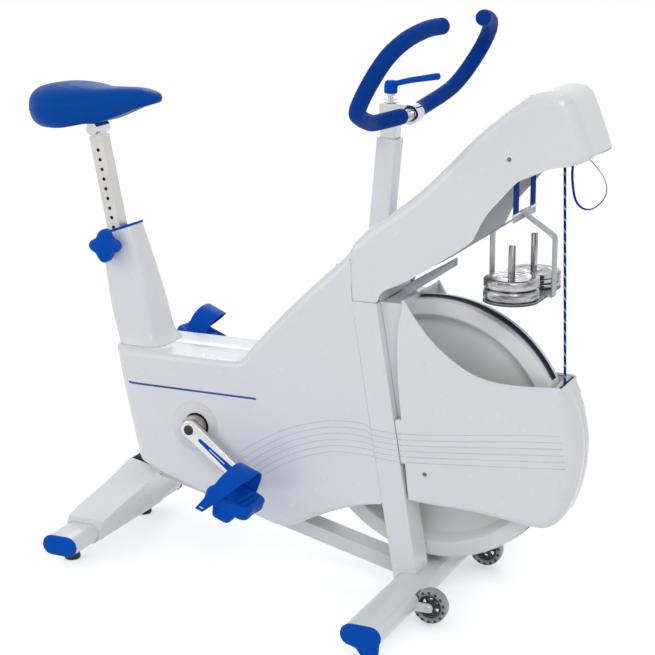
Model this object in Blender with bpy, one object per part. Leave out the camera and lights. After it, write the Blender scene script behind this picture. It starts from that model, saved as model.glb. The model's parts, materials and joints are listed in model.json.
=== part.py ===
"""Weight-basket bicycle ergometer.

A welded steel frame on two cross tubes carries a flywheel that the cranks turn by a chain.
A belt round the flywheel's rim brakes it. A cord lifts the belt's load over a pulley in the
head, where a basket of chromed discs hangs. White shells cover the frame and the wheel.

Metres, +X towards the flywheel, +Y to the rider's left, +Z up. The origin lies on the floor
at the middle of the machine's box.
"""
import bpy
import bmesh
from math import atan, atan2, ceil, cos, pi, radians, sin, sqrt, tan
from mathutils import Matrix, Vector

# Drive train
CRANK_X, CRANK_Z = -0.200, 0.307
AXLE_SPACING = 0.484
WHEEL_X, WHEEL_Z = CRANK_X + AXLE_SPACING, 0.343
WHEEL_RADIUS = 0.257
RIM_HALF = 0.028
RIM_DEPTH = 0.029
WEB_HALF = 0.003
HUB_RADIUS, HUB_HALF = 0.030, 0.026
AXLE_RADIUS = 0.006
AXLE_HALF = 0.064
CHAIN_PITCH = 0.0127
RING_TEETH, SPROCKET_TEETH = 52, 14
CHAIN_Y, CHAIN_WIDTH = -0.0365, 0.007
CHAIN_HALF_DEPTH, RING_THICK = 0.0035, 0.0040
SPINDLE_RADIUS = 0.0085
CRANK_LENGTH = 0.170
CRANK_ANGLE = radians(-37)
CRANK_INNER, CRANK_THICK = 0.108, 0.014
PEDAL_Y, PEDAL_WIDTH, PEDAL_LENGTH, PEDAL_HEIGHT = 0.188, 0.090, 0.102, 0.028
PEDAL_AXLE_RADIUS = 0.0065
STRAP_WIDTH, STRAP_THICK = 0.046, 0.003
PEDAL_TILT = {"right": radians(20), "left": radians(23)}
STRAP_RISE = {"right": 0.050, "left": 0.054}

# Gaps between pieces
FIT = 0.0003
RUN = 0.0004
SLIDE = 0.0005
SEAM = 0.0007
GUARD_GAP = 0.008

# Cross tubes and feet
FRONT_TUBE_X, FRONT_TUBE_Z, FRONT_TUBE_HALF = WHEEL_X - 0.010, 0.050, 0.3525
REAR_TUBE_X, REAR_TUBE_Z, REAR_TUBE_HALF = -0.453, 0.055, 0.2155
TUBE_WIDE, TUBE_HIGH, TUBE_WALL = 0.078, 0.040, 0.0025
CAP_THICK, CAP_PLUG = 0.0065, 0.015
SLEEVE_HALF, SLEEVE_WALL = 0.133, 0.003
FOOT_X, FOOT_Y, FOOT_RADIUS = REAR_TUBE_X - 0.018, 0.146, 0.0165

# Frame tubes
BEAM_WIDE, BEAM_HIGH, BEAM_WALL = 0.048, 0.030, 0.003
BEAM_FRONT_X, BEAM_FRONT_Z = WHEEL_X - 0.0531, 0.0438
BEAM_REAR_X, BEAM_REAR_Z = -0.335, 0.1797
BEAM_SLOPE = atan((BEAM_FRONT_Z - BEAM_REAR_Z) / (BEAM_FRONT_X - BEAM_REAR_X))
LEG_WIDE, LEG_INNER, LEG_OUTER, LEG_WALL = 0.050, 0.034, 0.096, 0.003
LEG_LEAN = radians(9.3)
LEG_FOOT_X = WHEEL_X - 0.0270
LEG_TOP_Z = 0.598
DROPOUT_Y, DROPOUT_THICK = 0.050, 0.006
HOUSING_RADIUS, HOUSING_END, STAND_HALF = 0.024, 0.060, 0.020
POST_WIDE, POST_WALL, POST_LEAN = 0.038, 0.0035, radians(5.3)
POST_BASE_X, POST_TOP_Z = WHEEL_X - 0.1325, 0.897
CROWN_HALF, CROWN_HEIGHT, CROWN_REAR, CROWN_FRONT = 0.074, 0.062, 0.030, 0.026
SEAT_LEAN = radians(10.9)
SEAT_TUBE_X, SEAT_TUBE_Z = -0.4222, 0.667
SEAT_TUBE_TOP_Z = 0.661
SEAT_POST_WIDE, SEAT_POST_WALL = 0.030, 0.0025
SEAT_TUBE_WALL = 0.0025
SEAT_TUBE_WIDE = SEAT_POST_WIDE + 2 * (SEAT_TUBE_WALL + SLIDE)
SEAT_POST_FOOT_Z, SEAT_POST_TOP_Z = 0.520, 0.866
SEAT_HOLES, SEAT_HOLE_PITCH, SEAT_HOLE_RADIUS = 11, 0.020, 0.0040
KNOB_Z, KNOB_PIN_RADIUS, KNOB_RADIUS = 0.651, 0.0050, 0.029

# Shells
SHELL_HALF, SHELL_WALL, REAR_ROUND = 0.095, 0.003, 0.060
DECK_Z = 0.4490
HEAD_HALF_REAR, HEAD_HALF_FRONT = 0.093, 0.085
NOSE_X = WHEEL_X + 0.294
GUARD_HALF_REAR, GUARD_HALF_FRONT, GROOVE_HALF = 0.094, 0.053, 0.074

# Handlebar
BAR_X, BAR_Z, BAR_RADIUS, GRIP_RADIUS = WHEEL_X - 0.0605, 0.943, 0.0110, 0.0165
GRIP_START = 0.030
JAW_POINTS = 5
STEM_FOOT_Z, STEM_TOP_Z, STEM_WALL = 0.720, 0.9245, 0.003
JAW_WALL, JAW_HALF = 0.0075, 0.016
LEVER_X, LEVER_Z, LEVER_REACH = WHEEL_X - 0.104, 0.985, 0.098

# Saddle
TILT_X, TILT_Z, TILT_RADIUS, TILT_HALF = -0.462, SEAT_POST_TOP_Z + 0.015, 0.013, 0.026

# Head, cord and basket
PULLEY_X, PULLEY_Z, PULLEY_RADIUS, PULLEY_HALF = WHEEL_X + 0.2015, 0.930, 0.0385, 0.0665
ARM_HALF, ARM_WALL = 0.073, 0.004
CORD_GROOVE, CORD_PASS_X = 0.0292, WHEEL_X + 0.249
STRAP_Y, BASKET_STRAP_WIDE, BASKET_STRAP_THICK = 0.049, 0.030, 0.0015
CORD_RADIUS, PULL_STRAP_RADIUS = 0.0026, 0.0022
BELT_WIDE, BELT_THICK = 0.012, 0.0016
BRACKET_Z = 0.4555
PLATE_HALF = STRAP_Y + BASKET_STRAP_WIDE / 2
PLATE_TOP, PLATE_HIGH, PLATE_THICK = 0.780, 0.016, 0.003
BASE_Z, BASE_THICK = 0.621, 0.005
DISC_RADIUS = 0.0515
DISC_Y = DISC_RADIUS + 0.0135
PEG_RADIUS, PEG_TOP = 0.0065, 0.724
SHOULDER_REACH, SHOULDER_Z = DISC_RADIUS + 0.007, 0.734
ARM_THICK, HANGER_HALF = 0.003, 0.012
RIGHT_DISC_HIGH, LEFT_DISC_HIGH = 0.0203, 0.0090

# Transport wheels
ROLLER_X, ROLLER_Y, ROLLER_Z = FRONT_TUBE_X + 0.059, 0.157, 0.041
ROLLER_RADIUS, ROLLER_HALF, ROLLER_GAP = 0.0335, 0.012, 0.0015
ROLLER_BORE, BRACKET_THICK, BRACKET_HIGH = 0.0044, 0.004, 0.018


def clear_scene():
    for item in list(bpy.data.objects):
        bpy.data.objects.remove(item, do_unlink=True)


def make_material(name, color, roughness, metallic=0.0):
    material = bpy.data.materials.new(name)
    material.use_nodes = True
    shader = material.node_tree.nodes["Principled BSDF"]
    shader.inputs["Base Color"].default_value = (*color, 1.0)
    shader.inputs["Roughness"].default_value = roughness
    shader.inputs["Metallic"].default_value = metallic
    return material


def place(name, mesh, material, pivot=(0, 0, 0)):
    """Makes the object, with its origin on its pivot and its faces turned outwards."""
    bmesh.ops.recalc_face_normals(mesh, faces=mesh.faces)
    bmesh.ops.translate(mesh, verts=mesh.verts, vec=-Vector(pivot))
    data = bpy.data.meshes.new(name)
    mesh.to_mesh(data)
    mesh.free()
    data.materials.append(material)
    data.shade_smooth()
    data.set_sharp_from_angle(angle=radians(35))
    item = bpy.data.objects.new(name, data)
    item.location = pivot
    bpy.context.scene.collection.objects.link(item)
    return item


def as_guide(item):
    item.hide_render = True
    item.display_type = "WIRE"
    return item


def combine(item, tool, operation="DIFFERENCE"):
    """Cuts a guide out of an object, or welds it on."""
    modifier = item.modifiers.new(operation.lower(), "BOOLEAN")
    modifier.operation = operation
    modifier.solver = "EXACT"
    modifier.object = tool


# Outlines are lists of (x, z) points in the machine's side view.

def arc(center, radius, start, end, steps):
    """Points of a circle's arc, with angles in radians from +X towards +Z."""
    return [(center[0] + radius * cos(start + (end - start) * i / steps),
             center[1] + radius * sin(start + (end - start) * i / steps)) for i in range(steps + 1)]


def flat_oval(center, wide, high, steps=6):
    """A rectangle with half-round ends."""
    reach = (wide - high) / 2
    return (arc((center[0] + reach, center[1]), high / 2, -pi / 2, pi / 2, steps)
            + arc((center[0] - reach, center[1]), high / 2, pi / 2, 3 * pi / 2, steps))


def rounded(corners, steps=4):
    """A polygon of (x, z, radius) corners, each turned into an arc where it has a radius."""
    points = []
    for i, (x, z, radius) in enumerate(corners):
        before, after = corners[i - 1], corners[(i + 1) % len(corners)]
        here = Vector((x, z))
        to_before = (Vector(before[:2]) - here).normalized()
        to_after = (Vector(after[:2]) - here).normalized()
        if radius == 0:
            points.append((x, z))
            continue
        half = to_before.angle(to_after) / 2
        center = here + (to_before + to_after).normalized() * (radius / sin(half))
        first = here + to_before * (radius / tan(half)) - center
        last = here + to_after * (radius / tan(half)) - center
        turn = atan2(first.x * last.y - first.y * last.x, first.dot(last))
        begin = atan2(first.y, first.x)
        points += arc(center, radius, begin, begin + turn, steps)
    return points


def smooth_line(points, steps=4):
    """A Catmull-Rom curve through points of any dimension."""
    rows = [Vector(p) for p in points]
    rows = [rows[0] * 2 - rows[1]] + rows + [rows[-1] * 2 - rows[-2]]
    out = []
    for i in range(1, len(rows) - 2):
        a, b, c, d = rows[i - 1:i + 3]
        for k in range(steps):
            t = k / steps
            out.append((b * 2 + (c - a) * t + (a * 2 - b * 5 + c * 4 - d) * t ** 2
                        + (b * 3 - a - c * 3 + d) * t ** 3) / 2)
    return out + [rows[-2]]


def thinned(points, turn):
    """Leaves out the points where a path has turned by less than an angle since the last one kept."""
    kept = [points[0]]
    for i in range(1, len(points) - 1):
        before = points[i] - kept[-1]
        if before.angle(points[i + 1] - points[i]) > turn:
            kept.append(points[i])
    return kept + [points[-1]]


# Solids

def prism(outline, y0, y1):
    """An outline drawn out along Y."""
    mesh = bmesh.new()
    near = [mesh.verts.new((x, y0, z)) for x, z in outline]
    face = mesh.faces.new(near)
    grown = bmesh.ops.extrude_face_region(mesh, geom=[face])["geom"]
    verts = [g for g in grown if isinstance(g, bmesh.types.BMVert)]
    bmesh.ops.translate(mesh, verts=verts, vec=(0, y1 - y0, 0))
    return mesh


def drawn(points, y0, y1):
    """The same outline of (x, z) points at two depths, as two rings."""
    return [[Vector((x, y, z)) for x, z in points] for y in (y0, y1)]


def between(side, near, far):
    """Two distances from the middle as a low and a high Y, on one side of the machine."""
    return sorted((side * near, side * far))


def skin(rings, closed_along=False, capped=True):
    """Joins rings of equal count with quads, and closes the first and last where capped."""
    mesh = bmesh.new()
    loops = [[mesh.verts.new(p) for p in ring] for ring in rings]
    pairs = list(zip(loops[:-1], loops[1:]))
    if closed_along:
        pairs.append((loops[-1], loops[0]))
    for a, b in pairs:
        for i in range(len(a)):
            j = (i + 1) % len(a)
            mesh.faces.new((a[i], a[j], b[j], b[i]))
    if capped and not closed_along:
        mesh.faces.new(loops[0][::-1])
        mesh.faces.new(loops[-1])
    return mesh


def pipe(outer, inner):
    """A hollow piece from two lists of rings, outside and bore, joined at both ends."""
    return skin(outer + inner[::-1], closed_along=True)


def square_ring(center, across, along, half_a, half_b):
    """Four corners round a centre."""
    return [center + across * half_a * a + along * half_b * b
            for a, b in ((-1, -1), (1, -1), (1, 1), (-1, 1))]


def square_tube(start, end, wide, high, wall, side=(0, 1, 0)):
    """A rectangular tube between two points, with its width along the side vector."""
    start, end, side = Vector(start), Vector(end), Vector(side)
    up = (end - start).normalized().cross(side).normalized()
    outer = [square_ring(p, side, up, wide / 2, high / 2) for p in (start, end)]
    inner = [square_ring(p, side, up, wide / 2 - wall, high / 2 - wall) for p in (start, end)]
    return pipe(outer, inner)


def upright(spots, half_across, half_along):
    """Level squares round the points of an upright tube's axis."""
    return [square_ring(Vector(spot), Vector((0, 1, 0)), Vector((1, 0, 0)), half_across, half_along)
            for spot in spots]


def round_rings(path, radius, sides):
    """Circles carried along a path without twist."""
    rows = [Vector(p) for p in path]
    tangents = [(rows[min(i + 1, len(rows) - 1)] - rows[max(i - 1, 0)]).normalized()
                for i in range(len(rows))]
    across = tangents[0].orthogonal().normalized()
    rings = []
    for point, tangent in zip(rows, tangents):
        across = (across - tangent * across.dot(tangent)).normalized()
        other = tangent.cross(across)
        rings.append([point + (across * cos(2 * pi * k / sides) + other * sin(2 * pi * k / sides)) * radius
                      for k in range(sides)])
    return rings


def turned(profile, center, axis="Y", sides=32):
    """A closed profile of (radius, height) points spun round an axis through a centre."""
    rows = []
    for k in range(sides):
        c, s = cos(2 * pi * k / sides), sin(2 * pi * k / sides)
        for_axis = {"X": lambda r, h: (h, r * c, r * s),
                    "Y": lambda r, h: (r * s, h, r * c),
                    "Z": lambda r, h: (r * c, r * s, h)}[axis]
        rows.append([Vector(center) + Vector(for_axis(r, h)) for r, h in profile])
    mesh = skin(rows, closed_along=True)
    bmesh.ops.remove_doubles(mesh, verts=mesh.verts, dist=1e-6)
    return mesh


def peg(center, radius, low, high, axis="Y", sides=16):
    """A plain round bar between two heights along an axis."""
    return turned([(0, low), (radius, low), (radius, high), (0, high)], center, axis, sides)


def ring(center, outer, inner, low, high, axis="Y", sides=32):
    """A plain round sleeve."""
    return turned([(inner, low), (outer, low), (outer, high), (inner, high)], center, axis, sides)


def block(low, high):
    mesh = bmesh.new()
    middle = (Vector(low) + Vector(high)) / 2
    size = Vector(high) - Vector(low)
    bmesh.ops.create_cube(mesh, size=1.0, matrix=Matrix.Translation(middle) @ Matrix.Diagonal((*size, 1)))
    return mesh


def gathered(meshes):
    """Several solids as one mesh."""
    whole = bmesh.new()
    for mesh in meshes:
        data = bpy.data.meshes.new("piece")
        mesh.to_mesh(data)
        whole.from_mesh(data)
        bpy.data.meshes.remove(data)
        mesh.free()
    return whole


def guide(name, mesh, material):
    return as_guide(place(name, mesh, material))


def round_edges(mesh, edges, radius, steps):
    bmesh.ops.bevel(mesh, geom=edges, offset=radius, segments=steps, profile=0.5,
                    affect="EDGES", clamp_overlap=True)


# Shared lines of the side view

def beam_z(x):
    """Height of the main beam's centre line."""
    return BEAM_FRONT_Z + (x - BEAM_FRONT_X) * tan(BEAM_SLOPE)


def leg_x(z):
    """Centre of the fork leg at a height."""
    return LEG_FOOT_X - (z - FRONT_TUBE_Z) * tan(LEG_LEAN)


def seat_x(z):
    """Axis of the seat tube at a height."""
    return SEAT_TUBE_X - (z - SEAT_TUBE_Z) * tan(SEAT_LEAN)


def post_x(z):
    """Axis of the handlebar post at a height."""
    return POST_BASE_X + (z - LEG_TOP_Z) * tan(POST_LEAN)


def pitch_radius(teeth):
    return CHAIN_PITCH / (2 * sin(pi / teeth))


def belt_loop(first, radius_a, second, radius_b, steps):
    """The outline of a band round two circles, the first at the left."""
    dx, dz = second[0] - first[0], second[1] - first[1]
    base = atan2(dz, dx)
    lean = base + pi / 2 - atan2(radius_a - radius_b, sqrt(dx * dx + dz * dz - (radius_a - radius_b) ** 2))
    low = 2 * base - lean
    return (arc(first, radius_a, lean, low + 2 * pi, steps)
            + arc(second, radius_b, low, lean, ceil(steps / 2)))


def chain_outline(spread):
    """The chain's path, moved out from its pitch line by a distance."""
    return belt_loop((CRANK_X, CRANK_Z), pitch_radius(RING_TEETH) + spread,
                     (WHEEL_X, WHEEL_Z), pitch_radius(SPROCKET_TEETH) + spread, 30)


def crank_end(side):
    """Centre of a pedal axle in the side view: +1 is the right crank, -1 the left."""
    reach = side * CRANK_LENGTH
    return CRANK_X + reach * cos(CRANK_ANGLE), CRANK_Z + reach * sin(CRANK_ANGLE)


# The frame

def build_cross_tubes(paint, blue, black):
    def tube(name, x, z, half):
        outer = drawn(flat_oval((x, z), TUBE_WIDE, TUBE_HIGH), -half, half)
        inner = drawn(flat_oval((x, z), TUBE_WIDE - 2 * TUBE_WALL, TUBE_HIGH - 2 * TUBE_WALL), -half, half)
        return place(name, pipe(outer, inner), paint)

    front = tube("front_support_tube", FRONT_TUBE_X, FRONT_TUBE_Z, FRONT_TUBE_HALF)
    tube("rear_support_tube", REAR_TUBE_X, REAR_TUBE_Z, REAR_TUBE_HALF)
    axis = (ROLLER_X, 0, ROLLER_Z)
    inner, outer = ROLLER_Y - ROLLER_HALF - ROLLER_GAP, ROLLER_Y + ROLLER_HALF + ROLLER_GAP
    root = FRONT_TUBE_X + TUBE_WIDE / 2 - 0.007
    arm = flat_oval(((ROLLER_X + root) / 2, ROLLER_Z), ROLLER_X - root + BRACKET_HIGH, BRACKET_HIGH)
    for side, word in ((-1, "right"), (1, "left")):
        pocket = peg(axis, ROLLER_RADIUS + 0.002, *between(side, inner, outer), sides=20)
        combine(front, guide("roller_pocket_guide", pocket, paint))
        bracket = prism(arm, side * outer, side * (outer + BRACKET_THICK))
        combine(front, guide("roller_arm_guide", bracket, paint), "UNION")
        bolt = peg(axis, ROLLER_BORE - RUN, *between(side, inner - 0.0015, outer + BRACKET_THICK / 2))
        combine(front, guide("roller_bolt_guide", bolt, paint), "UNION")
        build_cap("front_cap_" + word, FRONT_TUBE_X, FRONT_TUBE_Z, FRONT_TUBE_HALF, side, blue, True)
        build_cap("rear_cap_" + word, REAR_TUBE_X, REAR_TUBE_Z, REAR_TUBE_HALF, side, blue, False)
        top = REAR_TUBE_Z - TUBE_HIGH / 2 - FIT
        profile = [(0, 0), (FOOT_RADIUS - 0.002, 0), (FOOT_RADIUS, 0.002), (FOOT_RADIUS, 0.012),
                   (0.006, 0.015), (0.006, top), (0, top)]
        place("rear_foot_" + word, turned(profile, (FOOT_X, side * FOOT_Y, 0), "Z", 20), black)


def build_cap(name, x, z, half, side, material, with_foot):
    """An end cap: a plate over the tube's end with a plug. The front ones swell down to the floor."""
    wide, high = TUBE_WIDE + 0.002, TUBE_HIGH + 0.002
    outline = flat_oval((x, z), wide, high)
    if with_foot:
        reach, toe = (wide - high) / 2, 0.018
        outline = (arc((x + 0.017, toe), toe, radians(-125), radians(-8), 6)
                   + arc((x + reach, z), high / 2, radians(-32), radians(90), 6)
                   + arc((x - reach, z), high / 2, radians(90), radians(270), 8)
                   + [(x - 0.008, z - high / 2 - 0.0035), (x + 0.001, z - high / 2 - 0.0155)])
    start = half + FIT
    mesh = prism(outline, side * start, side * (start + CAP_THICK))
    outer_face = max(mesh.faces, key=lambda f: side * f.calc_center_median().y)
    round_edges(mesh, list(outer_face.edges), 0.003, 2)
    cap = place(name, mesh, material)
    inner = TUBE_WALL + 0.0005
    plug = prism(flat_oval((x, z), TUBE_WIDE - 2 * inner, TUBE_HIGH - 2 * inner),
                 *between(side, half - CAP_PLUG, start + 0.001))
    combine(cap, guide(name + "_plug", plug, material), "UNION")


def across_beam(x, half_wide, half_high):
    """A ring square to the main beam, round its centre line."""
    up = Vector((sin(-BEAM_SLOPE), 0, cos(BEAM_SLOPE)))
    return square_ring(Vector((x, 0, beam_z(x))), Vector((0, 1, 0)), up, half_wide, half_high)


def along_seat(z, half):
    """A level ring round the seat tube's axis, as wide along the machine as its lean makes it."""
    along = Vector((1 / cos(SEAT_LEAN), 0, 0))
    return square_ring(Vector((seat_x(z), 0, z)), Vector((0, 1, 0)), along, half, half)


def build_frame(paint, steel):
    beam_over = BEAM_HIGH / 2 / cos(BEAM_SLOPE) + FIT
    place("main_beam", square_tube((BEAM_FRONT_X, 0, BEAM_FRONT_Z), (BEAM_REAR_X, 0, BEAM_REAR_Z),
                                   BEAM_WIDE, BEAM_HIGH, BEAM_WALL), paint)

    half = SEAT_TUBE_WIDE / 2
    ends = (beam_z(seat_x(0.2) - half) + beam_over, SEAT_TUBE_TOP_Z)
    seat_tube = place("seat_tube", pipe([along_seat(z, half) for z in ends],
                                        [along_seat(z, half - SEAT_TUBE_WALL) for z in ends]), paint)
    pin_hole = peg((seat_x(KNOB_Z), 0, KNOB_Z), KNOB_PIN_RADIUS + 0.0008, -0.05, -0.005)
    combine(seat_tube, guide("pin_hole_guide", pin_hole, steel))

    shell_low, shell_high = -(abs(CHAIN_Y) - CHAIN_WIDTH / 2 - 0.0015), HOUSING_END
    shell = ring((CRANK_X, 0, CRANK_Z), HOUSING_RADIUS, SPINDLE_RADIUS + RUN, shell_low, shell_high)
    housing = place("crank_housing", shell, paint)
    front, rear, top = CRANK_X + STAND_HALF, CRANK_X - STAND_HALF, CRANK_Z - 0.016
    stand = [(front, beam_z(front) + beam_over), (front, top), (rear, top), (rear, beam_z(rear) + beam_over)]
    combine(housing, guide("housing_stand_guide", prism(stand, -STAND_HALF, STAND_HALF), paint), "UNION")

    tube_clear = guide("front_tube_clearance", prism(
        flat_oval((FRONT_TUBE_X, FRONT_TUBE_Z), TUBE_WIDE + 2 * FIT, TUBE_HIGH + 2 * FIT), -0.2, 0.2), steel)
    around_chain = prism(chain_outline(0.009), CHAIN_Y - 0.010, CHAIN_Y + 0.012)
    chain_clear = guide("chain_clearance", around_chain, steel)
    for side, word in ((-1, "right"), (1, "left")):
        axis = [(leg_x(z), side * (LEG_INNER + LEG_OUTER) / 2, z) for z in (FRONT_TUBE_Z, LEG_TOP_Z)]
        half_across, half_along = (LEG_OUTER - LEG_INNER) / 2, LEG_WIDE / 2
        inner = upright(axis, half_across - LEG_WALL, half_along - LEG_WALL)
        leg = place("fork_leg_" + word, pipe(upright(axis, half_across, half_along), inner), paint)
        front_wall, tip = leg_x(WHEEL_Z) + LEG_WIDE / 2, WHEEL_X + 0.018
        plate = rounded([(front_wall - 0.002, WHEEL_Z - 0.045, 0), (tip, WHEEL_Z - 0.020, 0.012),
                         (tip, WHEEL_Z + 0.020, 0.012), (front_wall - 0.010, WHEEL_Z + 0.045, 0)])
        low, high = between(side, DROPOUT_Y, DROPOUT_Y + DROPOUT_THICK)
        combine(leg, guide("dropout_guide", prism(plate, low, high), paint), "UNION")
        bore = peg((WHEEL_X, 0, WHEEL_Z), AXLE_RADIUS + FIT, low - 0.01, high + 0.01)
        combine(leg, guide("axle_hole_guide", bore, steel))
        combine(leg, tube_clear)
        if side < 0:
            combine(leg, chain_clear)

    crown_x, crown_top = leg_x(LEG_TOP_Z), LEG_TOP_Z + CROWN_HEIGHT
    post = square_tube((post_x(crown_top - 0.01), 0, crown_top - 0.01), (post_x(POST_TOP_Z), 0, POST_TOP_Z),
                       POST_WIDE, POST_WIDE, POST_WALL)
    crown = block((crown_x - CROWN_REAR, -CROWN_HALF, LEG_TOP_Z + FIT),
                  (crown_x + CROWN_FRONT, CROWN_HALF, crown_top))
    combine(place("handlebar_post", post, paint), guide("crown_guide", crown, paint), "UNION")
    build_rear_leg(paint, steel)
    return chain_clear


def build_rear_leg(paint, steel):
    """A flared skirt from the main beam's end down onto a sleeve round the rear tube."""
    levels = ((REAR_TUBE_Z, 0, -0.042, 0.042, 0.131), (0.085, 0, -0.036, 0.050, 0.128),
              (0.110, 0, -0.016, 0.072, 0.108), (0.150, 0, 0.026, 0.113, 0.083),
              (0.207, -0.013, 0.079, 0.154, 0.064))

    def skirt(wall):
        """Four corners at each level: its height, the front edge's fall, rear and front X, and half width."""
        return [[Vector((REAR_TUBE_X + x, y, z + drop)) for x, y, drop in (
                    (rear + wall, wall - half, 0), (front - wall, wall - half, fall),
                    (front - wall, half - wall, fall), (rear + wall, half - wall, 0))]
                for z, fall, rear, front, half in levels]

    leg = place("rear_leg", pipe(skirt(0), skirt(SHELL_WALL)), paint)
    center = (REAR_TUBE_X, REAR_TUBE_Z)
    sleeve = flat_oval(center, TUBE_WIDE + 2 * SLEEVE_WALL, TUBE_HIGH + 2 * SLEEVE_WALL)
    combine(leg, guide("sleeve_guide", prism(sleeve, -SLEEVE_HALF, SLEEVE_HALF), paint), "UNION")
    bore = flat_oval(center, TUBE_WIDE + 2 * FIT, TUBE_HIGH + 2 * FIT)
    combine(leg, guide("sleeve_bore_guide", prism(bore, -0.2, 0.2), steel))
    notch = skin([across_beam(x, BEAM_WIDE / 2 + FIT, BEAM_HIGH / 2 + FIT)
                  for x in (BEAM_REAR_X - 0.012, 0.0)])
    combine(leg, guide("beam_notch_guide", notch, steel))


# The drive

def build_flywheel(cast, steel):
    inner = WHEEL_RADIUS - RIM_DEPTH
    side = [(AXLE_RADIUS + RUN, HUB_HALF), (HUB_RADIUS, HUB_HALF), (HUB_RADIUS + 0.006, WEB_HALF),
            (inner - 0.012, WEB_HALF), (inner, RIM_HALF), (WHEEL_RADIUS, RIM_HALF)]
    profile = [(r, -h) for r, h in side] + side[::-1]
    axis = (WHEEL_X, 0, WHEEL_Z)
    place("flywheel", turned(profile, axis, "Y", 44), cast, axis)
    place("flywheel_axle", peg(axis, AXLE_RADIUS, -AXLE_HALF, AXLE_HALF), steel, axis)
    disc = pitch_radius(SPROCKET_TEETH) - CHAIN_HALF_DEPTH - RUN
    hub_low = -(HUB_HALF + FIT)
    bore, boss, near, far = AXLE_RADIUS + RUN, 0.016, CHAIN_Y + RING_THICK / 2, CHAIN_Y - RING_THICK / 2
    profile = [(bore, hub_low), (boss, hub_low), (boss, near), (disc, near), (disc, far), (boss, far),
               (boss, CHAIN_Y - 0.006), (bore, CHAIN_Y - 0.006)]
    place("drive_sprocket", turned(profile, axis, "Y", 20), steel, axis)


def build_chain(steel):
    low, high = CHAIN_Y - CHAIN_WIDTH / 2, CHAIN_Y + CHAIN_WIDTH / 2
    place("chain", pipe(drawn(chain_outline(CHAIN_HALF_DEPTH), low, high),
                        drawn(chain_outline(-CHAIN_HALF_DEPTH), low, high)), steel)


def build_cranks(chrome, steel, blue, black):
    axis = (CRANK_X, 0, CRANK_Z)
    reach = CRANK_INNER + CRANK_THICK + 0.001
    place("crank_spindle", peg(axis, SPINDLE_RADIUS, -reach, reach), steel, axis)
    disc = pitch_radius(RING_TEETH) - CHAIN_HALF_DEPTH - RUN
    bore = SPINDLE_RADIUS + FIT
    near, far = CHAIN_Y + RING_THICK / 2, CHAIN_Y - RING_THICK / 2
    profile = [(bore, near), (disc, near), (disc, far), (HOUSING_RADIUS, far),
               (HOUSING_RADIUS, -CRANK_INNER + FIT), (bore, -CRANK_INNER + FIT)]
    place("chainring", turned(profile, axis, "Y", 40), steel, axis)
    for side, word in ((1, "right"), (-1, "left")):
        end_x, end_z = crank_end(side)
        near, far = -side * CRANK_INNER, -side * (CRANK_INNER + CRANK_THICK)
        along = atan2(end_z - CRANK_Z, end_x - CRANK_X)
        outline = (arc((CRANK_X, CRANK_Z), 0.019, along + pi / 2, along + 3 * pi / 2, 8)
                   + arc((end_x, end_z), 0.014, along - pi / 2, along + pi / 2, 8))
        low, high = sorted((near, far))
        arm = place("crank_arm_" + word, prism(outline, low, high), chrome, axis)
        hole = peg(axis, SPINDLE_RADIUS + FIT, low - 0.01, high + 0.01)
        combine(arm, guide("spindle_hole_guide", hole, steel))
        axle = peg((end_x, 0, end_z), PEDAL_AXLE_RADIUS,
                   *between(-side, CRANK_INNER + CRANK_THICK / 2, PEDAL_Y + PEDAL_WIDTH / 2 - 0.004))
        combine(arm, guide("pedal_axle_guide", axle, steel), "UNION")
        build_pedal(word, -side, (end_x, -side * PEDAL_Y, end_z), blue, steel)


def build_pedal(word, hand, axis, blue, steel):
    """A platform with rounded ends, bored for its axle, and a strap arched over it."""
    x, y, z = axis
    low, high = y - PEDAL_WIDTH / 2, y + PEDAL_WIDTH / 2
    outline = rounded([(x + a * PEDAL_LENGTH / 2, z + b * PEDAL_HEIGHT / 2, 0.008)
                       for a, b in ((-1, -1), (1, -1), (1, 1), (-1, 1))], 3)
    turn = Matrix.Rotation(PEDAL_TILT[word], 3, "Y")
    mesh = prism(outline, low, high)
    bmesh.ops.rotate(mesh, cent=(x, 0, z), matrix=turn, verts=mesh.verts)
    body = place("pedal_" + word, mesh, blue, (x, 0, z))
    bore = peg((x, 0, z), PEDAL_AXLE_RADIUS + RUN,
               *between(hand, PEDAL_Y - PEDAL_WIDTH / 2 - 0.01, PEDAL_Y + PEDAL_WIDTH / 2 - 0.0035))
    combine(body, guide("pedal_bore_guide", bore, steel))
    foot = z - PEDAL_HEIGHT / 2
    half = PEDAL_WIDTH / 2 + FIT
    top = z + PEDAL_HEIGHT / 2 + STRAP_RISE[word]

    def arch(spread):
        """Up one side of the pedal, over in a flat arch and down the other side."""
        reach, crown = half + spread, top + spread
        shoulder = z + PEDAL_HEIGHT / 2
        over = [(reach * -cos(pi * i / 10), shoulder + (crown - shoulder) * sqrt(sin(pi * i / 10)))
                for i in range(11)]
        return [(-reach, foot)] + over + [(reach, foot)]

    section = arch(STRAP_THICK) + arch(0)[::-1]
    mesh = skin([[Vector((px, y + py, pz)) for py, pz in section]
                 for px in (x - STRAP_WIDTH / 2, x + STRAP_WIDTH / 2)])
    bmesh.ops.rotate(mesh, cent=(x, 0, z), matrix=turn, verts=mesh.verts)
    strap = place("pedal_strap_" + word, mesh, blue, (x, 0, z))
    hole = peg((x, 0, z), PEDAL_AXLE_RADIUS + RUN,
               *between(hand, PEDAL_Y - half - STRAP_THICK - 0.005, PEDAL_Y))
    combine(strap, guide("strap_hole_guide", hole, steel))


# The shells

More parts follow.
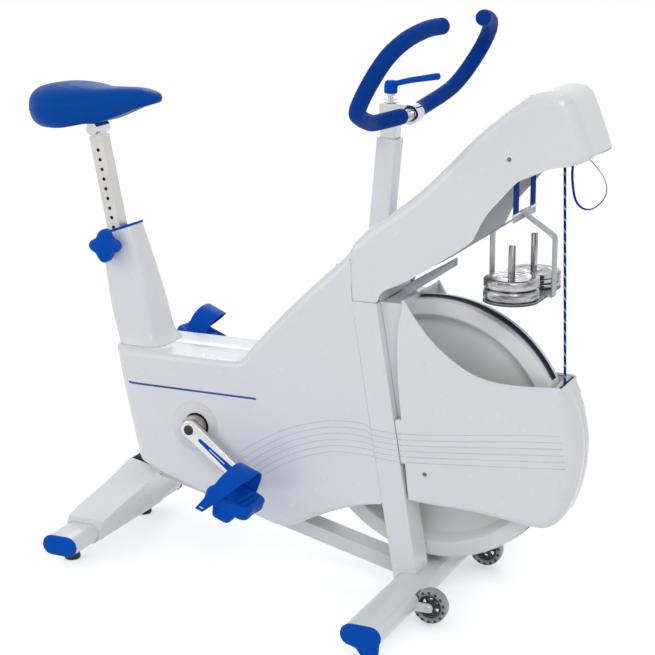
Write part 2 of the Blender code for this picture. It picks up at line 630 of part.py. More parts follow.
def shifted(points, before, after):
    """Moves the sides of an anticlockwise outline outwards, by one amount before and one after each point."""
    moved = []
    for i, point in enumerate(points):
        here = Vector(point[:2])
        last, following = Vector(points[i - 1][:2]), Vector(points[(i + 1) % len(points)][:2])
        a, b = (here - last).normalized(), (following - here).normalized()
        out_a, out_b = Vector((a.y, -a.x)), Vector((b.y, -b.x))
        turn = a.x * b.y - a.y * b.x
        if abs(turn) < 0.05:
            moved.append(here + (out_a + out_b).normalized() * (before[i] + after[i]) / 2)
        else:
            reach = (after[i] - before[i] * out_a.dot(out_b)) / turn
            moved.append(here + out_a * before[i] + a * reach)
    return moved


def hull(points, half, sides, start):
    """A solid over an outline of (x, z, radius), with each point's own rounding at its side edges.

    A corner may carry a second radius for the side after it. The solid runs from the start
    distance out to the half width, a function of x, on one side or both.
    """
    stages = []
    for step in range(4):
        angle = pi / 6 * step
        spots = shifted(points, [-point[2] * (1 - cos(angle)) for point in points],
                        [-point[-1] * (1 - cos(angle)) for point in points])
        stages.append([(spot.x, half(spot.x) - max(point[2:]) * (1 - sin(angle)), spot.y)
                       for spot, point in zip(spots, points)])
    if len(sides) == 2:
        rows = [[Vector((x, -y, z)) for x, y, z in stage] for stage in stages[::-1]]
        rows += [[Vector(spot) for spot in stage] for stage in stages]
    else:
        rows = [[Vector((point[0], sides[0] * start, point[1])) for point in points]]
        rows += [[Vector((x, sides[0] * y, z)) for x, y, z in stage] for stage in stages]
    mesh = skin(rows)
    bmesh.ops.remove_doubles(mesh, verts=mesh.verts, dist=1e-6)
    return mesh


def hollow_of(points, open_sides):
    """The outline of a shell's inside: in by the wall, or out through the sides that are open."""
    amounts = [0.015 if i in open_sides else -SHELL_WALL for i in range(len(points))]
    inner = shifted(points, [amounts[i - 1] for i in range(len(points))], amounts)
    return [(spot.x, spot.y, *(max(radius - SHELL_WALL, 0.0) for radius in point[2:]))
            for spot, point in zip(inner, points)]


def from_wheel(*points):
    """Points given by their distance in front of the flywheel's axle."""
    return [(WHEEL_X + x, *rest) for x, *rest in points]


def rear_casing_outline():
    """Bottom, seam at the fork leg, arm, deck and rear edge; only the seam's side is open."""
    seam = [(leg_x(z) - LEG_WIDE / 2 - SEAM, z, 0.0) for z in (0.2035, 0.596)]
    points = [(-0.3555, 0.2150, REAR_ROUND, 0.012), (-0.262, 0.1900, 0.012), (-0.240, 0.184, 0.012),
              (-0.060, 0.132, 0.012), (-0.006, 0.117, 0.012)]
    points += from_wheel((-0.224, 0.152, 0.012), (-0.154, 0.184, 0.010)) + seam
    points += from_wheel((-0.1443, 0.655, 0.0), (-0.1443, 0.699, 0.016), (-0.162, 0.677, 0.020),
                         (-0.204, 0.641, 0.022), (-0.243, 0.604, 0.022), (-0.308, 0.542, 0.022))
    points += [(-0.088, 0.468, 0.020), (-0.094, 0.459, 0.018), (-0.104, 0.4515, 0.016),
               (-0.116, DECK_Z, 0.014), (-0.322, DECK_Z, 0.014), (-0.4035, DECK_Z, 0.014, REAR_ROUND),
               (-0.3927, 0.386, REAR_ROUND), (-0.3797, 0.320, REAR_ROUND)]
    return points, {7, 8, 9}


def guard_outline():
    """Bottom, nose, the open lip and the rear edge."""
    points = from_wheel(
        (-0.0268, 0.2165, 0.006), (0.004, 0.212, 0.008), (0.110, 0.204, 0.010), (0.168, 0.191, 0.014),
        (0.200, 0.184, 0.018), (0.228, 0.181, 0.018), (0.247, 0.189, 0.018), (0.262, 0.204, 0.022),
        (0.274, 0.228, 0.026), (0.284, 0.258, 0.030), (0.2925, 0.303, 0.030), (0.294, 0.345, 0.030),
        (0.289, 0.383, 0.030), (0.278, 0.421, 0.026), (0.263, 0.450, 0.016), (0.2565, 0.461, 0.006),
        (0.232, 0.4615, 0.006), (0.200, 0.4600, 0.006), (0.163, 0.4605, 0.006), (0.127, 0.4640, 0.006),
        (0.090, 0.4760, 0.006), (0.061, 0.4945, 0.006), (0.033, 0.5165, 0.006), (0.010, 0.5400, 0.006),
        (-0.009, 0.5640, 0.006), (-0.024, 0.5860, 0.006), (-0.039, 0.6095, 0.004), (-0.051, 0.550, 0.004),
        (-0.049, 0.453, 0.004), (-0.037, 0.336, 0.004))
    return points, set(range(15, 26))


def guard_half(x):
    """Half the guard's width, which narrows towards its nose."""
    return GUARD_HALF_REAR - (x - WHEEL_X + 0.034) * (GUARD_HALF_REAR - GUARD_HALF_FRONT) / 0.28


def build_shells(white, steel, chain_clear):
    wheel_clear = guide("wheel_clearance", peg((WHEEL_X, 0, WHEEL_Z), WHEEL_RADIUS + GUARD_GAP,
                                               -RIM_HALF - 0.004, RIM_HALF + 0.004, sides=72), steel)
    beam_clear = guide("beam_clearance", skin([across_beam(x, BEAM_WIDE / 2 + 0.002, BEAM_HIGH / 2 + 0.002)
                                               for x in (BEAM_FRONT_X, BEAM_REAR_X - 0.02)]), steel)
    spindle_clear = guide("spindle_clearance", peg((CRANK_X, 0, CRANK_Z), HOUSING_RADIUS + 0.0025,
                                                   -0.12, 0.12, sides=32), steel)
    wide = STAND_HALF + 0.0025
    stand_clear = guide("stand_clearance", block((CRANK_X - wide, -wide, 0.10),
                                                 (CRANK_X + wide, wide, 0.20)), steel)
    seat_clear = guide("seat_tube_clearance", skin([along_seat(z, SEAT_TUBE_WIDE / 2 + 0.0015)
                                                    for z in (0.18, 0.47)]), steel)
    skirt_clear = guide("rear_leg_clearance", block((-0.379, -0.068, 0.10), (-0.294, 0.068, 0.2145)), steel)
    plate_clear = guide("dropout_clearance", block((leg_x(WHEEL_Z), -0.062, WHEEL_Z - 0.052),
                                                   (WHEEL_X + 0.024, 0.062, WHEEL_Z + 0.052)), steel)

    def shell(name, outlines, side, cutters):
        """Welds the hulls, hollows each one and makes the cuts."""
        item = None
        for points, open_sides, half in outlines:
            solid = hull(points, half, (side,), FIT)
            if item is None:
                item = place(name, solid, white)
            else:
                combine(item, guide(name + "_solid", solid, white), "UNION")
        for points, open_sides, half in outlines:
            inside = hull(hollow_of(points, open_sides), lambda x: half(x) - SHELL_WALL, (side,), -0.01)
            combine(item, guide(name + "_inside", inside, white))
        for cutter in cutters:
            combine(item, cutter)

    foot, top = [(leg_x(z) + LEG_WIDE / 2 + SEAM, z, 0.0) for z in (0.2185, 0.5970)]
    groove = [foot] + from_wheel((-0.024, 0.2185, 0.0), (-0.031, 0.336, 0.0), (-0.043, 0.453, 0.0),
                                 (-0.045, 0.550, 0.0), (-0.040, 0.5970, 0.0)) + [top]
    for side, word in ((-1, "right"), (1, "left")):
        chain_cut = [chain_clear] if side < 0 else []
        shell("rear_casing_" + word, [(*rear_casing_outline(), lambda x: SHELL_HALF)], side,
              [wheel_clear, beam_clear, stand_clear, spindle_clear, seat_clear, skirt_clear] + chain_cut)
        shell("wheel_guard_" + word,
              [(*guard_outline(), guard_half), (groove, {1, 2, 3, 4, 6}, lambda x: GROOVE_HALF)],
              side, [wheel_clear, plate_clear] + chain_cut)


def build_head_cover(white, steel):
    """A hood over the arm and the pulley, open along its lower edge and at the seam."""
    lower = from_wheel((-0.1378, 0.6005), (-0.096, 0.619), (-0.076, 0.625), (-0.046, 0.637), (-0.006, 0.661),
                       (0.040, 0.692), (0.067, 0.709), (0.094, 0.730), (0.116, 0.777), (0.140, 0.804),
                       (0.172, 0.841), (0.182, 0.847), (0.209, 0.859), (0.239, 0.872), (0.262, 0.875))
    upper = from_wheel((0.284, 0.879, 0.012), (0.307, 0.892, 0.030), (0.272, 0.984, 0.030),
                       (0.261, 0.998, 0.026), (0.246, 1.005, 0.024), (0.224, 1.0065, 0.024),
                       (0.205, 1.003, 0.024), (0.185, 0.995, 0.024), (0.138, 0.959, 0.024),
                       (0.095, 0.922, 0.024), (0.038, 0.862, 0.024), (-0.020, 0.805, 0.024),
                       (-0.069, 0.768, 0.024), (-0.122, 0.731, 0.022), (-0.1437, 0.7045, 0.016))
    points = [(x, z, 0.0) for x, z in lower] + upper
    open_sides = set(range(len(lower) + 1)) | {len(points) - 1}
    rear_x = WHEEL_X - 0.142

    def half(x):
        return HEAD_HALF_REAR - (x - rear_x) * (HEAD_HALF_REAR - HEAD_HALF_FRONT) / 0.45

    cover = place("head_cover", hull(points, half, (-1, 1), 0), white)
    inside = hull(hollow_of(points, open_sides), lambda x: half(x) - SHELL_WALL, (-1, 1), 0)
    combine(cover, guide("head_cover_inside", inside, white))
    wide = POST_WIDE / 2 + 0.003
    post_clear = skin(upright([(post_x(z), 0, z) for z in (0.62, 0.86)], wide, wide))
    combine(cover, guide("post_clearance", post_clear, steel))


def build_seat_cover(white, blue, steel):
    """An oval tube that flares from the seat bushing down to the deck.

    A level is its height and how far it stands off the seat tube behind, in front and at the side.
    """
    levels = ((DECK_Z + 0.0004, 0.0047, 0.0623, 0.042), (0.462, 0.0078, 0.0537, 0.037),
              (0.480, 0.0108, 0.0502, 0.034), (0.530, 0.0150, 0.0498, 0.029),
              (0.610, 0.0138, 0.0432, 0.020), (0.677, 0.0054, 0.0306, 0.014))

    def oval(z, behind, ahead, beside, inset):
        """A ring with flattened sides: a superellipse of power 4, tipped at the bushing."""
        middle = seat_x(z) + (ahead - behind) / 2
        reach, half = (SEAT_TUBE_WIDE + ahead + behind) / 2 - inset, SEAT_TUBE_WIDE / 2 + beside
        points = []
        for k in range(20):
            c, s = cos(2 * pi * k / 20), sin(2 * pi * k / 20)
            u = sqrt(abs(c)) * (1 if c > 0 else -1) * reach
            v = sqrt(abs(s)) * (1 if s > 0 else -1) * (half - inset)
            lift = u * 0.35 if z == levels[-1][0] else 0
            points.append(Vector((middle + u, v, z + lift)))
        return points

    cover = place("seat_tube_cover", pipe([oval(*level, 0) for level in levels],
                                          [oval(*level, SHELL_WALL) for level in levels]), white)
    combine(cover, guide("stem_clearance", peg((seat_x(KNOB_Z), 0, KNOB_Z), 0.0105, -0.08, -0.01), steel))
    rim = oval(*levels[-1], -0.001)
    lid = skin([[p + Vector((0, 0, rise)) for p in rim] for rise in (FIT, 0.005)])
    bushing = place("seat_bushing", lid, blue)
    post_hole = skin([along_seat(z, SEAT_POST_WIDE / 2 + SLIDE) for z in (0.60, 0.74)])
    combine(bushing, guide("post_hole_guide", post_hole, steel))


# Seat

def build_seat(steel, blue, chrome):
    up = Vector((-sin(SEAT_LEAN), 0, cos(SEAT_LEAN)))
    foot = Vector((seat_x(SEAT_POST_FOOT_Z), 0, SEAT_POST_FOOT_Z))
    top = Vector((seat_x(SEAT_POST_TOP_Z), 0, SEAT_POST_TOP_Z))
    post = place("seat_post", square_tube(foot, top, SEAT_POST_WIDE, SEAT_POST_WIDE, SEAT_POST_WALL), chrome)
    outside, inside = -SEAT_POST_WIDE / 2 - 0.004, SEAT_POST_WALL - SEAT_POST_WIDE / 2 + 0.004
    pin = Vector((seat_x(KNOB_Z), 0, KNOB_Z))
    holes = gathered([peg(pin + up * (SEAT_HOLE_PITCH * (k - 0.5)), SEAT_HOLE_RADIUS, outside, inside, sides=8)
                      for k in range(SEAT_HOLES)])
    combine(post, guide("post_pin_holes_guide", holes, steel))

    axis = (TILT_X, 0, TILT_Z)
    clamp = place("saddle_clamp", peg(axis, TILT_RADIUS, -TILT_HALF, TILT_HALF), chrome, axis)
    half = SEAT_POST_WIDE / 2 - SEAT_POST_WALL - 2 * FIT
    plug = skin(upright([(seat_x(z), 0, z) for z in (SEAT_POST_TOP_Z - 0.020, TILT_Z)], half, half))
    combine(clamp, guide("clamp_plug_guide", plug, steel), "UNION")
    place("saddle", saddle_mesh(), blue, axis)

    knob_x = seat_x(KNOB_Z)
    tip = -(SEAT_POST_WIDE / 2 + FIT)
    rows = []
    for y, radius, lobes in ((tip, KNOB_PIN_RADIUS, 0), (-0.034, KNOB_PIN_RADIUS, 0), (-0.034, 0.0098, 0),
                             (-0.046, 0.0098, 0), (-0.046, KNOB_RADIUS - 0.004, 0.10),
                             (-0.049, KNOB_RADIUS, 0.12), (-0.066, KNOB_RADIUS, 0.12),
                             (-0.075, KNOB_RADIUS - 0.007, 0.10), (-0.078, KNOB_RADIUS * 0.4, 0.02)):
        row = []
        for k in range(24):
            angle = 2 * pi * k / 24
            reach = radius * (1 + lobes * cos(4 * angle))
            row.append(Vector((knob_x + reach * cos(angle), y, KNOB_Z + reach * sin(angle))))
        rows.append(row)
    place("seat_knob", skin(rows), blue, (knob_x, tip, KNOB_Z))


def saddle_mesh():
    """The saddle, as rings across its length: a broad crowned rear that draws in to a long nose.

    A station is its place ahead of the tilt axis, its half width, and its crown and skirt above the axis.
    """
    stations = smooth_line([
        (-0.137, 0.040, 0.064, 0.031), (-0.130, 0.072, 0.076, 0.017), (-0.103, 0.100, 0.086, 0.005),
        (-0.063, 0.108, 0.091, 0.000), (-0.018, 0.094, 0.088, 0.004), (0.022, 0.066, 0.084, 0.015),
        (0.062, 0.043, 0.085, 0.029), (0.102, 0.031, 0.085, 0.045), (0.132, 0.025, 0.079, 0.054),
        (0.1475, 0.014, 0.070, 0.059)], 2)
    rows = []
    for ahead, half, crown, skirt in stations:
        x, crown, skirt = TILT_X + ahead, TILT_Z + crown, TILT_Z + skirt
        row = []
        for k in range(24):
            angle = 2 * pi * k / 24
            c, s = cos(angle), sin(angle)
            y = half * abs(c) ** 0.75 * (1 if c > 0 else -1)
            edge = crown - (crown - skirt) * 0.45
            if s >= 0:
                z = edge + (crown - edge) * s ** 0.9
            else:
                floor_z = max(skirt, TILT_Z + TILT_RADIUS + FIT) if abs(y) < half * 0.75 else skirt
                z = edge - (edge - floor_z) * min(1, abs(s) * 1.25)
            row.append(Vector((x, y, z)))
        rows.append(row)
    return skin(rows)


# Handlebar

def grip_path(side):
    """The bar's route from the clamp: out to the side, up and forward, and in again at the top."""
    route = [(0.0, 0.0, 0.0), (0.0, 0.012, 0.0), (-0.0003, 0.020, 0.0), (-0.007, 0.040, -0.001),
             (-0.0195, 0.074, -0.004), (-0.0305, 0.116, -0.005), (-0.0245, 0.160, 0.004),
             (-0.0165, 0.200, 0.014), (-0.007, 0.240, 0.029), (0.0125, 0.260, 0.059),
             (0.0385, 0.264, 0.101), (0.0585, 0.250, 0.133), (0.0735, 0.218, 0.156),
             (0.0825, 0.180, 0.168), (0.0895, 0.140, 0.175), (0.1005, 0.098, 0.178)]
    line = smooth_line([(BAR_X + x, side * y, BAR_Z + z) for x, y, z in route], 2)
    return line[:JAW_POINTS] + thinned(line[JAW_POINTS:], radians(7))


def build_handlebar(chrome, blue, steel):
    stem_axis = Vector((sin(POST_LEAN), 0, cos(POST_LEAN)))
    top = Vector((post_x(STEM_TOP_Z), 0, STEM_TOP_Z)) - stem_axis * FIT
    foot = Vector((post_x(STEM_FOOT_Z), 0, STEM_FOOT_Z))
    wide = POST_WIDE - 2 * POST_WALL - 2 * SLIDE
    place("handlebar_stem", square_tube(foot, top, wide, wide, STEM_WALL), chrome)

    jaw, heel = BAR_RADIUS + JAW_WALL, post_x(BAR_Z) - 0.020
    outline = ([(heel, STEM_TOP_Z + 0.0015)] + arc((BAR_X, BAR_Z), jaw, -pi / 2, pi / 2, 10)
               + [(heel, BAR_Z + jaw)])
    clamp = place("handlebar_clamp", prism(outline, -JAW_HALF, JAW_HALF), chrome)
    hole = peg((BAR_X, 0, BAR_Z), BAR_RADIUS + 2 * FIT, -0.03, 0.03, sides=24)
    combine(clamp, guide("bar_hole_guide", hole, steel))
    bolt = peg((LEVER_X, 0, 0), 0.005, BAR_Z, LEVER_Z - 0.0065, "Z")
    combine(clamp, guide("lever_bolt_guide", bolt, steel), "UNION")

    half_path = grip_path(1)
    start = next(i for i, p in enumerate(half_path) if p.y > GRIP_START - 0.002)
    mirrored = [Vector((p.x, -p.y, p.z)) for p in half_path]
    whole = mirrored[:0:-1] + half_path
    inset = whole[1:-1]
    place("handlebar_bar", skin(round_rings(inset, BAR_RADIUS, 10)), steel, (BAR_X, 0, BAR_Z))
    for side, word in ((-1, "right"), (1, "left")):
        path = grip_path(side)[start:-1]
        outer = round_rings(path, GRIP_RADIUS, 10)
        inner = round_rings(path, BAR_RADIUS + 2 * FIT, 10)
        place("grip_" + word, pipe(outer, inner), blue, (BAR_X, 0, BAR_Z))

    hub = [(0.0055, -0.006), (0.011, -0.006), (0.012, 0.0), (0.011, 0.016), (0.006, 0.019), (0, 0.019),
           (0, 0.001), (0.0055, 0.001)]
    axis = (LEVER_X, 0, LEVER_Z)
    lever = place("clamp_lever", turned(hub, axis, "Z", 20), blue, axis)
    bar = skin(round_rings([(LEVER_X + 0.009, 0, LEVER_Z + 0.012), (LEVER_X + 0.04, 0, LEVER_Z + 0.020),
                            (LEVER_X + LEVER_REACH, 0, LEVER_Z + 0.030)], 0.0055, 12))
    combine(lever, guide("lever_arm_guide", bar, blue), "UNION")


# Head arm, pulley, cord, belt and basket

def build_head(paint, steel, navy, cord, dark):
    root = leg_x(LEG_TOP_Z) + CROWN_FRONT + FIT
    outline = [(root, 0.618), (root, 0.658)] + from_wheel(
        (0.156, 0.952), (0.186, 0.960), (0.268, 0.955), (0.268, 0.930), (0.246, 0.930), (0.216, 0.908),
        (0.171, 0.880), (0.146, 0.852))
    arm = place("head_arm", prism(outline, -ARM_HALF, ARM_HALF), paint)
    back = root + ARM_WALL
    hollow = [(back, 0.626)] + from_wheel((0.142, 0.853), (0.142, 0.80), (0.252, 0.80), (0.252, 1.02),
                                          (0.116, 1.02)) + [(back, 0.80)]
    inside = ARM_HALF - ARM_WALL
    combine(arm, guide("channel_guide", prism(hollow, -inside, inside), paint))
    axis = (PULLEY_X, 0, PULLEY_Z)
    around = peg(axis, PULLEY_RADIUS + 0.011, -inside, inside, sides=24)
    combine(arm, guide("pulley_clearance", around, paint))
    combine(arm, guide("pulley_hole_guide", peg(axis, AXLE_RADIUS + FIT, -0.1, 0.1), steel))

    side = [(0, ARM_HALF + 0.001), (AXLE_RADIUS, ARM_HALF + 0.001), (AXLE_RADIUS, PULLEY_HALF),
            (PULLEY_RADIUS, PULLEY_HALF), (PULLEY_RADIUS, 0.012), (CORD_GROOVE, 0.005)]
    place("head_pulley", turned([(r, -h) for r, h in side] + side[::-1], axis, "Y", 24), steel, axis)

    inner = PULLEY_RADIUS + RUN
    outer = inner + BASKET_STRAP_THICK
    bottom = PLATE_TOP + 0.0005
    center = (PULLEY_X, PULLEY_Z)
    section = ([(PULLEY_X - outer, bottom)] + arc(center, outer, pi, pi / 2, 6)
               + arc(center, inner, pi / 2, pi, 6) + [(PULLEY_X - inner, bottom)])
    for hand, word in ((-1, "right"), (1, "left")):
        y, half = hand * STRAP_Y, BASKET_STRAP_WIDE / 2
        place("basket_strap_" + word, prism(section, y - half, y + half), navy,
              (PULLEY_X - PULLEY_RADIUS, 0, bottom))

    belt_inner = WHEEL_RADIUS + RUN
    belt_outer = belt_inner + BELT_THICK
    start, end = radians(28), radians(352)
    section = (arc((WHEEL_X, WHEEL_Z), belt_outer, start, end, 60)
               + arc((WHEEL_X, WHEEL_Z), belt_inner, end, start, 60))
    place("brake_belt", prism(section, -BELT_WIDE / 2, BELT_WIDE / 2), navy)

    top_x = PULLEY_X + CORD_GROOVE + CORD_RADIUS + RUN
    foot_x = WHEEL_X + belt_outer + CORD_RADIUS + 0.0002
    path = [(foot_x, 0, WHEEL_Z - 0.012), (foot_x, 0, WHEEL_Z + 0.012), (CORD_PASS_X, 0, BRACKET_Z + 0.002),
            ((CORD_PASS_X + top_x) / 2, 0, (BRACKET_Z + PULLEY_Z) / 2), (top_x, 0, PULLEY_Z)]
    place("brake_cord", skin(round_rings(path, CORD_RADIUS, 12)), cord, (top_x, 0, PULLEY_Z))

    rear_x, front_x = CORD_PASS_X - 0.0095, CORD_PASS_X + 0.0005
    half = guard_half(front_x) - SHELL_WALL - 0.0019
    plate = place("belt_bracket", block((rear_x, -half, BRACKET_Z), (front_x, half, BRACKET_Z + 0.004)), dark)
    slot = block((CORD_PASS_X - CORD_RADIUS - 2 * FIT, -0.005, 0.44), (front_x + 0.03, 0.005, 0.48))
    combine(plate, guide("cord_slot_guide", slot, steel))

    loop = smooth_line(from_wheel(
        (0.2540, 0, 0.9297), (0.2525, 0, 0.900), (0.2510, -0.001, 0.870), (0.2512, -0.003, 0.842),
        (0.2580, -0.004, 0.806), (0.2720, -0.004, 0.790), (0.2900, -0.003, 0.790), (0.3080, -0.001, 0.806),
        (0.3145, 0, 0.826), (0.3090, 0, 0.846), (0.2940, 0, 0.866), (0.2760, 0, 0.884),
        (0.2640, 0, 0.905), (0.2630, 0, 0.9297)), 2)
    curve = bpy.data.curves.new("pull_strap", "CURVE")
    curve.dimensions = "3D"
    curve.bevel_depth = PULL_STRAP_RADIUS
    curve.bevel_resolution = 2
    curve.use_fill_caps = True
    spline = curve.splines.new("POLY")
    spline.points.add(len(loop) - 1)
    for point, spot in zip(spline.points, loop):
        point.co = (*spot, 1)
    curve.materials.append(navy)
    bpy.context.scene.collection.objects.link(bpy.data.objects.new("pull_strap", curve))


def build_basket(steel, chrome):
    x = PULLEY_X - PULLEY_RADIUS - RUN - BASKET_STRAP_THICK / 2
    low, base_top = PLATE_TOP - PLATE_HIGH, BASE_Z + BASE_THICK
    reach, outer, bend = SHOULDER_REACH, SHOULDER_REACH + ARM_THICK, SHOULDER_Z - 0.002
    base = [(x - outer + 0.001, BASE_Z), (x + outer - 0.001, BASE_Z), (x + outer - 0.001, base_top),
            (x - outer + 0.001, base_top)]
    frame = place("basket_frame", prism(base, -HANGER_HALF, HANGER_HALF), steel, (x, 0, BASE_Z))
    plate = block((x - PLATE_THICK / 2, -PLATE_HALF, low), (x + PLATE_THICK / 2, PLATE_HALF, PLATE_TOP))
    combine(frame, guide("top_plate_guide", plate, steel), "UNION")
    foot = BASE_Z + 0.001
    hanger = [(x + outer, foot), (x + outer, SHOULDER_Z), (x, low + 0.010), (x - outer, SHOULDER_Z),
              (x - outer, foot), (x - reach, foot), (x - reach, bend), (x, low + 0.004), (x + reach, bend),
              (x + reach, foot)]
    combine(frame, guide("hanger_guide", prism(hanger, -HANGER_HALF, HANGER_HALF), steel), "UNION")
    tray_outline = flat_oval((0, 0), 2 * (DISC_Y + DISC_RADIUS), 2 * DISC_RADIUS, 16)
    tray = skin([[Vector((x + across, along, z)) for along, across in tray_outline]
                 for z in (BASE_Z, base_top)])
    combine(frame, guide("tray_guide", tray, steel), "UNION")
    for hand in (-1, 1):
        post = peg((x, hand * DISC_Y, 0), PEG_RADIUS, foot, PEG_TOP, "Z")
        combine(frame, guide("peg_guide", post, steel), "UNION")
    stacks = (("right", -1, RIGHT_DISC_HIGH, ("lower", "upper")),
              ("left", 1, LEFT_DISC_HIGH, ("lower", "middle", "upper")))
    for word, hand, high, levels in stacks:
        for k, level in enumerate(levels):
            z = base_top + FIT + k * (high + FIT)
            bore, rounding = PEG_RADIUS + RUN, high * 0.3
            profile = [(bore, 0), (DISC_RADIUS - rounding, 0), (DISC_RADIUS, rounding),
                       (DISC_RADIUS, high - rounding), (DISC_RADIUS - rounding, high), (bore, high)]
            mesh = turned(profile, (x, hand * DISC_Y, z), "Z", 24)
            place("weight_%s_%s" % (word, level), mesh, chrome, (x, hand * DISC_Y, z))


def build_rollers(black):
    for side, word in ((-1, "right"), (1, "left")):
        axis = (ROLLER_X, side * ROLLER_Y, ROLLER_Z)
        half = ROLLER_HALF
        edge = [(ROLLER_BORE, half * 0.7), (0.022, half * 0.7), (0.025, half), (ROLLER_RADIUS - 0.002, half),
                (ROLLER_RADIUS, half - 0.003)]
        mesh = turned([(r, -h) for r, h in edge] + edge[::-1], axis, "Y", 20)
        place("transport_wheel_" + word, mesh, black, axis)


def main():
    clear_scene()
    paint = make_material("white paint", (0.86, 0.87, 0.87), 0.35)
    white = make_material("white plastic", (0.88, 0.89, 0.90), 0.40)
    blue = make_material("blue plastic", (0.01, 0.10, 0.55), 0.45)
    navy = make_material("blue webbing", (0.01, 0.08, 0.30), 0.80)
    cord = make_material("flecked cord", (0.02, 0.08, 0.24), 0.70)
    black = make_material("black rubber", (0.03, 0.03, 0.03), 0.70)
    steel = make_material("bright steel", (0.70, 0.71, 0.72), 0.25, 1.0)
    chrome = make_material("chrome", (0.85, 0.85, 0.86), 0.10, 1.0)
    cast = make_material("painted casting", (0.80, 0.81, 0.78), 0.45)
    dark = make_material("dark metal", (0.10, 0.10, 0.11), 0.45, 1.0)
    build_cross_tubes(paint, blue, black)
    chain_clear = build_frame(paint, steel)
    build_flywheel(cast, steel)
    build_chain(steel)
    build_cranks(chrome, steel, blue, black)
    build_shells(white, steel, chain_clear)
    build_head_cover(white, steel)
    build_seat_cover(white, blue, steel)
    build_seat(steel, blue, chrome)
    build_handlebar(chrome, blue, steel)
    build_head(paint, steel, navy, cord, dark)
    build_basket(steel, chrome)
    build_rollers(black)


main()
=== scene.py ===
"""Looks of the weight-basket ergometer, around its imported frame.

Pieces are surfaces worked out with numpy, in metres, in the frame's own axes: +X runs towards
the flywheel, +Y to the rider's left and +Z up. Right is -Y, the side nearest the camera.
"""
import json
from math import atan2, cos, pi, radians, sin, tan

import bmesh
import bpy
import numpy as np
from mathutils import Matrix

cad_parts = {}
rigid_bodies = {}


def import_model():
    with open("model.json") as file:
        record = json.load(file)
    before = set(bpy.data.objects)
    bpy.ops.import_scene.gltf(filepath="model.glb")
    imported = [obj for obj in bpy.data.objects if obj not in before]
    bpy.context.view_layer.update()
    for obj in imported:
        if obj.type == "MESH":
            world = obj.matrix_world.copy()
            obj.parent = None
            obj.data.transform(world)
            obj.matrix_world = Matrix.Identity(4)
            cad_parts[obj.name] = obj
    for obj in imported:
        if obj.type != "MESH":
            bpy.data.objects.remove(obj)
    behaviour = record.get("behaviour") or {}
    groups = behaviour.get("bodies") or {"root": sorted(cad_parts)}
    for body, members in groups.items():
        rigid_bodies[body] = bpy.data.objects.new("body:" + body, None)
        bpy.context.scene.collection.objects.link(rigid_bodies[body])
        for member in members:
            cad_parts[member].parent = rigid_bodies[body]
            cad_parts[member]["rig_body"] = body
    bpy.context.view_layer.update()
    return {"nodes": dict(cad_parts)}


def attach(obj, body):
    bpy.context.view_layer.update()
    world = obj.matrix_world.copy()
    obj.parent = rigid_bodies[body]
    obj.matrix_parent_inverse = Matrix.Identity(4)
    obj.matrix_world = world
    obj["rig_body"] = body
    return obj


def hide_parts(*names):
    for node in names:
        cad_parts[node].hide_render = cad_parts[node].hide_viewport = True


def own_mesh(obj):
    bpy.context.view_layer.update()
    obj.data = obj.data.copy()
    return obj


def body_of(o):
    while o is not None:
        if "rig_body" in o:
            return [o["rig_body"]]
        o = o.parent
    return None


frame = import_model()

# Places on the machine, as the frame has them
CRANK_X, CRANK_Z = -0.200, 0.307
CRANK_LENGTH, CRANK_ANGLE = 0.170, radians(-37)
CRANK_IN, CRANK_OUT, PEDAL_Y = 0.108, 0.122, 0.188
WHEEL_X, WHEEL_Z, WHEEL_RADIUS = 0.284, 0.343, 0.257
LEG_FOOT_X, LEG_FOOT_Z, LEG_LEAN, LEG_HALF = 0.2570, 0.050, radians(9.3), 0.0250
POST_BASE_X, POST_BASE_Z, POST_LEAN = 0.1515, 0.598, radians(5.3)
SEAT_X, SEAT_Z, SEAT_LEAN = -0.4222, 0.667, radians(10.9)
KNOB_Z = 0.651
BAR_X, BAR_Z = 0.2235, 0.943
LEVER_X, LEVER_Z = 0.180, 0.985
PULLEY_X, PULLEY_Z, PULLEY_RADIUS, PULLEY_GROOVE = 0.4855, 0.930, 0.0385, 0.0292
BASKET_X, DISC_Y, DISC_RADIUS, STRAP_Y = 0.44585, 0.065, 0.0515, 0.049
TRAY_LOW, TRAY_SEAM, TRAY_TOP = 0.6210, 0.6250, 0.6260
SHELL_HALF, WALL, DECK_Z = 0.095, 0.003, 0.4490
REAR_FOOT_X, REAR_FOOT_Y = -0.471, 0.146
TRANSPORT_X, TRANSPORT_Y, TRANSPORT_Z = 0.333, 0.157, 0.041

# Sizes of the bar, the brake and the straps, and the gap that these keep to what they lie on
BAR_RADIUS, GRIP_RADIUS, CORD_RADIUS = 0.0110, 0.0150, 0.0026
BELT_WIDE, BELT_THICK, STRAP_WIDE, STRAP_THICK = 0.021, 0.0016, 0.030, 0.0015
LAP = 0.0004

RIGHT, LEFT = -1, 1
SIDES = ((RIGHT, "right"), (LEFT, "left"))


def leg_x(z):
    """Centre of the fork legs at a height."""
    return LEG_FOOT_X - (z - LEG_FOOT_Z) * tan(LEG_LEAN)


def seat_x(z):
    """Axis of the seat tube at a height."""
    return SEAT_X - (z - SEAT_Z) * tan(SEAT_LEAN)


def post_x(z):
    """Axis of the handlebar post at a height."""
    return POST_BASE_X + (z - POST_BASE_Z) * tan(POST_LEAN)


def guard_half(x):
    """Half the wheel guard's width, narrowing towards its nose."""
    return 0.094 - (x - 0.25) * 0.041 / 0.28


def hood_half(x):
    """Half the head cover's width, a little less at the front."""
    return 0.093 - (x - 0.142) * 0.008 / 0.45


# Curves and grids of points

def xyz(*parts):
    """Points from their coordinates, two or three, each an array or one number for them all."""
    return np.stack(np.broadcast_arrays(*parts), -1)


